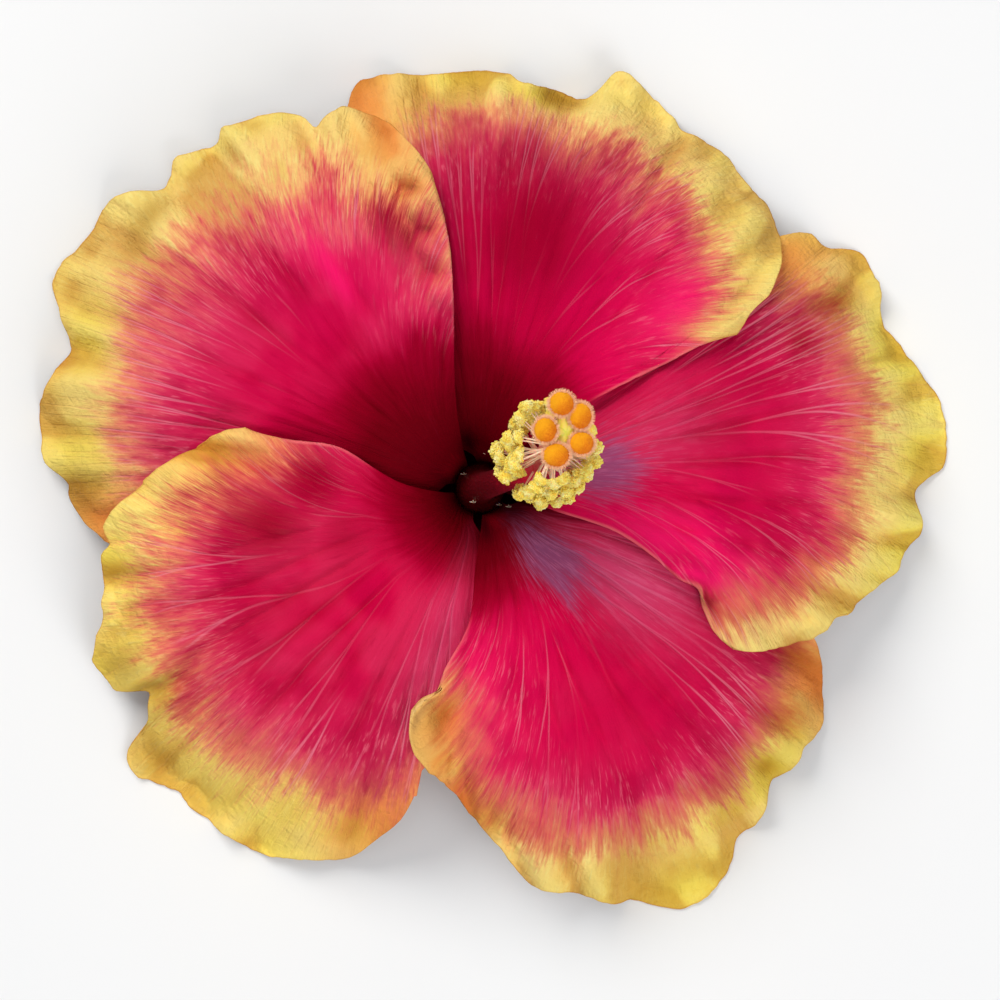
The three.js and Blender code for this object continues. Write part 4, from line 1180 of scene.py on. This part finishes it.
def fringe_hairs(draw, pad, broad, deep):
    """Matrices that stand hairs round a pad's side."""
    hairs = []
    for _ in range(FRINGE["hairs"]):
        bearing = 2 * math.pi * next(draw)
        lean = math.radians(mix(*FRINGE["leans"], next(draw)))
        way = Vector((math.cos(bearing) * math.cos(lean), math.sin(bearing) * math.cos(lean),
                      math.sin(lean)))
        side = Vector((way.x * broad, way.y * deep, way.z * STIGMA["flattening"]))
        move = Matrix.Translation(pad + side * STIGMA["radius"] * 0.97)
        turn = Vector((0, 0, 1)).rotation_difference(way).to_matrix().to_4x4()
        size = Matrix.Scale(mix(*FRINGE["sizes"], next(draw)), 4)
        hairs.append(FROM_AXIS @ move @ turn @ size)
    return hairs


def make_pistil():
    draw = draws_from(23)
    fork = column_point(STYLE["top"] - 0.5)
    stalks, pads, collars, hairs = [style_tube()], [], [], []
    for place, (broad, deep) in STIGMA_PADS:
        pad = Vector(place)
        stalks.append(style_branch(fork, pad))
        ball = added(
            bpy.ops.mesh.primitive_uv_sphere_add, segments=40, ring_count=24, radius=STIGMA["radius"]
        )
        places = corners(ball)
        x, y, z = places.T
        lumps = 1 + 0.02 * grain(x * 2, y * 2, z * 2, seed=int(pad.x * 10))
        squashed = places * lumps[:, None] * (broad, deep, STIGMA["flattening"])
        put_round_axis(ball, *(squashed + np.array(pad)).T)
        # How far each place lies towards the pad's upper left, for its painted light and shade.
        add_attribute(ball, "lie", (y - x) / STIGMA["radius"] / 1.4)
        pads.append(ball)
        collar = added(
            bpy.ops.mesh.primitive_uv_sphere_add, segments=40, ring_count=16, radius=COLLAR["radius"]
        )
        squashed = corners(collar) * (broad, deep, COLLAR["flattening"])
        put_round_axis(collar, *(squashed + np.array(pad) - (0, 0, COLLAR["lower"])).T)
        collars.append(collar)
        hairs += fringe_hairs(draw, pad, broad, deep)
    hair = added(
        bpy.ops.mesh.primitive_cone_add, vertices=4, radius1=FRINGE["radius"],
        radius2=FRINGE["radius"] * 0.3, depth=FRINGE["length"], location=(0, 0, FRINGE["length"] / 2),
    )
    settle(hair)
    matt = {"Roughness": 0.5, "Diffuse Roughness": 1.0}
    pale = patchy_finish("stigma_fringe", matt, 3.0, 0xFFB87C, 0xFFE2BE)
    finished(joined([
        painted(joined(stalks), style_finish()),
        painted(joined(pads), stigma_finish()),
        painted(joined([copies("hairs", hair, hairs), *collars]), pale),
    ]), "pistil")


# Calyx, epicalyx and pedicel


def make_calyx():
    piece, turn, share = sheet(160, 36)
    turn = turn * 360
    sector = 360 / CALYX_LOBES["count"]
    from_tip = np.abs((turn + sector / 2) % sector - sector / 2) / (sector / 2)
    edge = mix(CALYX_LOBES["tip"], CALYX_LOBES["sinus"], from_tip**0.85)
    along = mix(CALYX[0][0], edge, share)
    angle = np.radians(turn + CALYX_LOBES["first"])
    bulge = 0.12 * bell(from_tip / 0.12) + 0.05 * grain(turn / 5, along / 3, seed=3)
    out = through(CALYX, along) + bulge
    put_round_axis(piece, out * np.cos(angle), out * np.sin(angle), through(CALYX, along, 2))
    add_attribute(piece, "lie", turn / sector * 3 + 0.5)
    # The wall's two ends meet.
    bpy.ops.object.mode_set(mode="EDIT")
    bpy.ops.mesh.select_all(action="SELECT")
    bpy.ops.mesh.remove_doubles(threshold=0.00001)
    bpy.ops.object.mode_set(mode="OBJECT")
    green = green_finish("calyx_green", 0x88A04A, 0x587830)
    dull = {"Roughness": 0.9, "Specular IOR Level": 0.02}
    # The inner face is near-black: painted shade deep in the throat.
    inner_painted_shade = patchy_finish("throat_painted_shade", dull, 0.8, 0x160103, 0x280205)
    painted(piece, green, inner_painted_shade)
    walled(piece, CALYX_LOBES["thickness"], inside=1)
    finished(piece, "calyx")


def make_epicalyx():
    pieces = []
    for number in range(BRACTS["count"]):
        piece, side, share = sheet(10, 28)
        side = side * 2 - 1
        along = share * BRACTS["length"]
        half = BRACTS["width"] / 2 * (0.75 + 0.5 * share) * (1 - share**2.5) + 0.12
        bearing = math.radians(BRACTS["first"] + 360 * number / BRACTS["count"])
        keel = 0.25 * (side**2) * (1 - share)
        out = through(BRACT_LINE, along)
        x = out * math.cos(bearing) - side * half * math.sin(bearing)
        y = out * math.sin(bearing) + side * half * math.cos(bearing)
        put_round_axis(piece, x, y, through(BRACT_LINE, along, 2) + keel)
        add_attribute(piece, "lie", side * 1.5)
        walled(piece, BRACTS["thickness"])
        pieces.append(piece)
    ring = added(
        bpy.ops.mesh.primitive_torus_add, major_segments=56, minor_segments=14,
        major_radius=BRACT_RING["radius"] * MM, minor_radius=BRACT_RING["wire"] * MM,
        location=(AXIS + Vector((0, 0, BRACT_RING["up"]))) * MM,
    )
    settle(ring)
    look = painted(joined([ring, *pieces]), green_finish("bract_green", 0x92AA54, 0x608036))
    finished(look, "epicalyx")


def make_pedicel():
    radius, cut, top, shoulder = (PEDICEL[k] for k in ("radius", "cut", "top", "shoulder"))
    profile = [
        (cut, radius * 0.9), (cut + 0.1, radius), (cut + 1.0, radius * 0.95),
        (cut + 1.9, radius * 1.1), (cut + 2.9, shoulder * 0.66), (cut + 3.4, shoulder * 0.8),
        (top - 0.9, shoulder), (top - 0.3, shoulder), (top, shoulder * 0.94),
    ]
    piece = tube([((0, 0, up), width) for up, width in profile], 48)
    painted(piece, green_finish("stalk_green", 0x849E4C, 0x547432, shoulder + 0.3))
    finished(piece, "pedicel")


# Floor, light and camera


def make_stage():
    floor = added(bpy.ops.mesh.primitive_plane_add, size=6.0)
    floor.name = "floor"
    matt = {"Roughness": 0.9, "Specular IOR Level": 0.1}
    painted(floor, patchy_finish("floor_white", matt, 0.01, *FLOOR_WHITES))

    for name, place, size, power, colour in LAMPS:
        lamp = bpy.data.lights.new(name, "AREA")
        lamp.shape = "DISK"
        lamp.size = size
        lamp.energy = power
        lamp.color = colour
        holder = in_scene(name, lamp)
        holder.location = place
        towards = Vector((0, 0, 0.02)) - Vector(place)
        holder.rotation_euler = towards.to_track_quat("-Z", "Y").to_euler()

    world = bpy.data.worlds.new("room")
    world.use_nodes = True
    sky = world.node_tree.nodes["Background"].inputs
    sky["Color"].default_value = (0.9, 0.95, 1.0, 1)
    sky["Strength"].default_value = 0.26
    bpy.context.scene.world = world
    bpy.context.scene.view_settings.view_transform = "Standard"

    lens = bpy.data.cameras.new("photo_camera")
    lens.sensor_width = CAMERA["sensor"]
    lens.lens = CAMERA["focal_px"] / CAMERA["image_px"] * CAMERA["sensor"]
    lens.clip_start = 0.01
    camera = in_scene("photo_camera", lens)
    camera.location = (AXIS + Vector((*CAMERA["beside"], CAMERA["height"]))) * MM
    bpy.context.scene.camera = camera


make_column()
make_pistil()
make_calyx()
make_epicalyx()
make_pedicel()
for number, (name, petal) in enumerate(PETALS.items(), start=1):
    make_petal(name, number, petal)
make_stage()
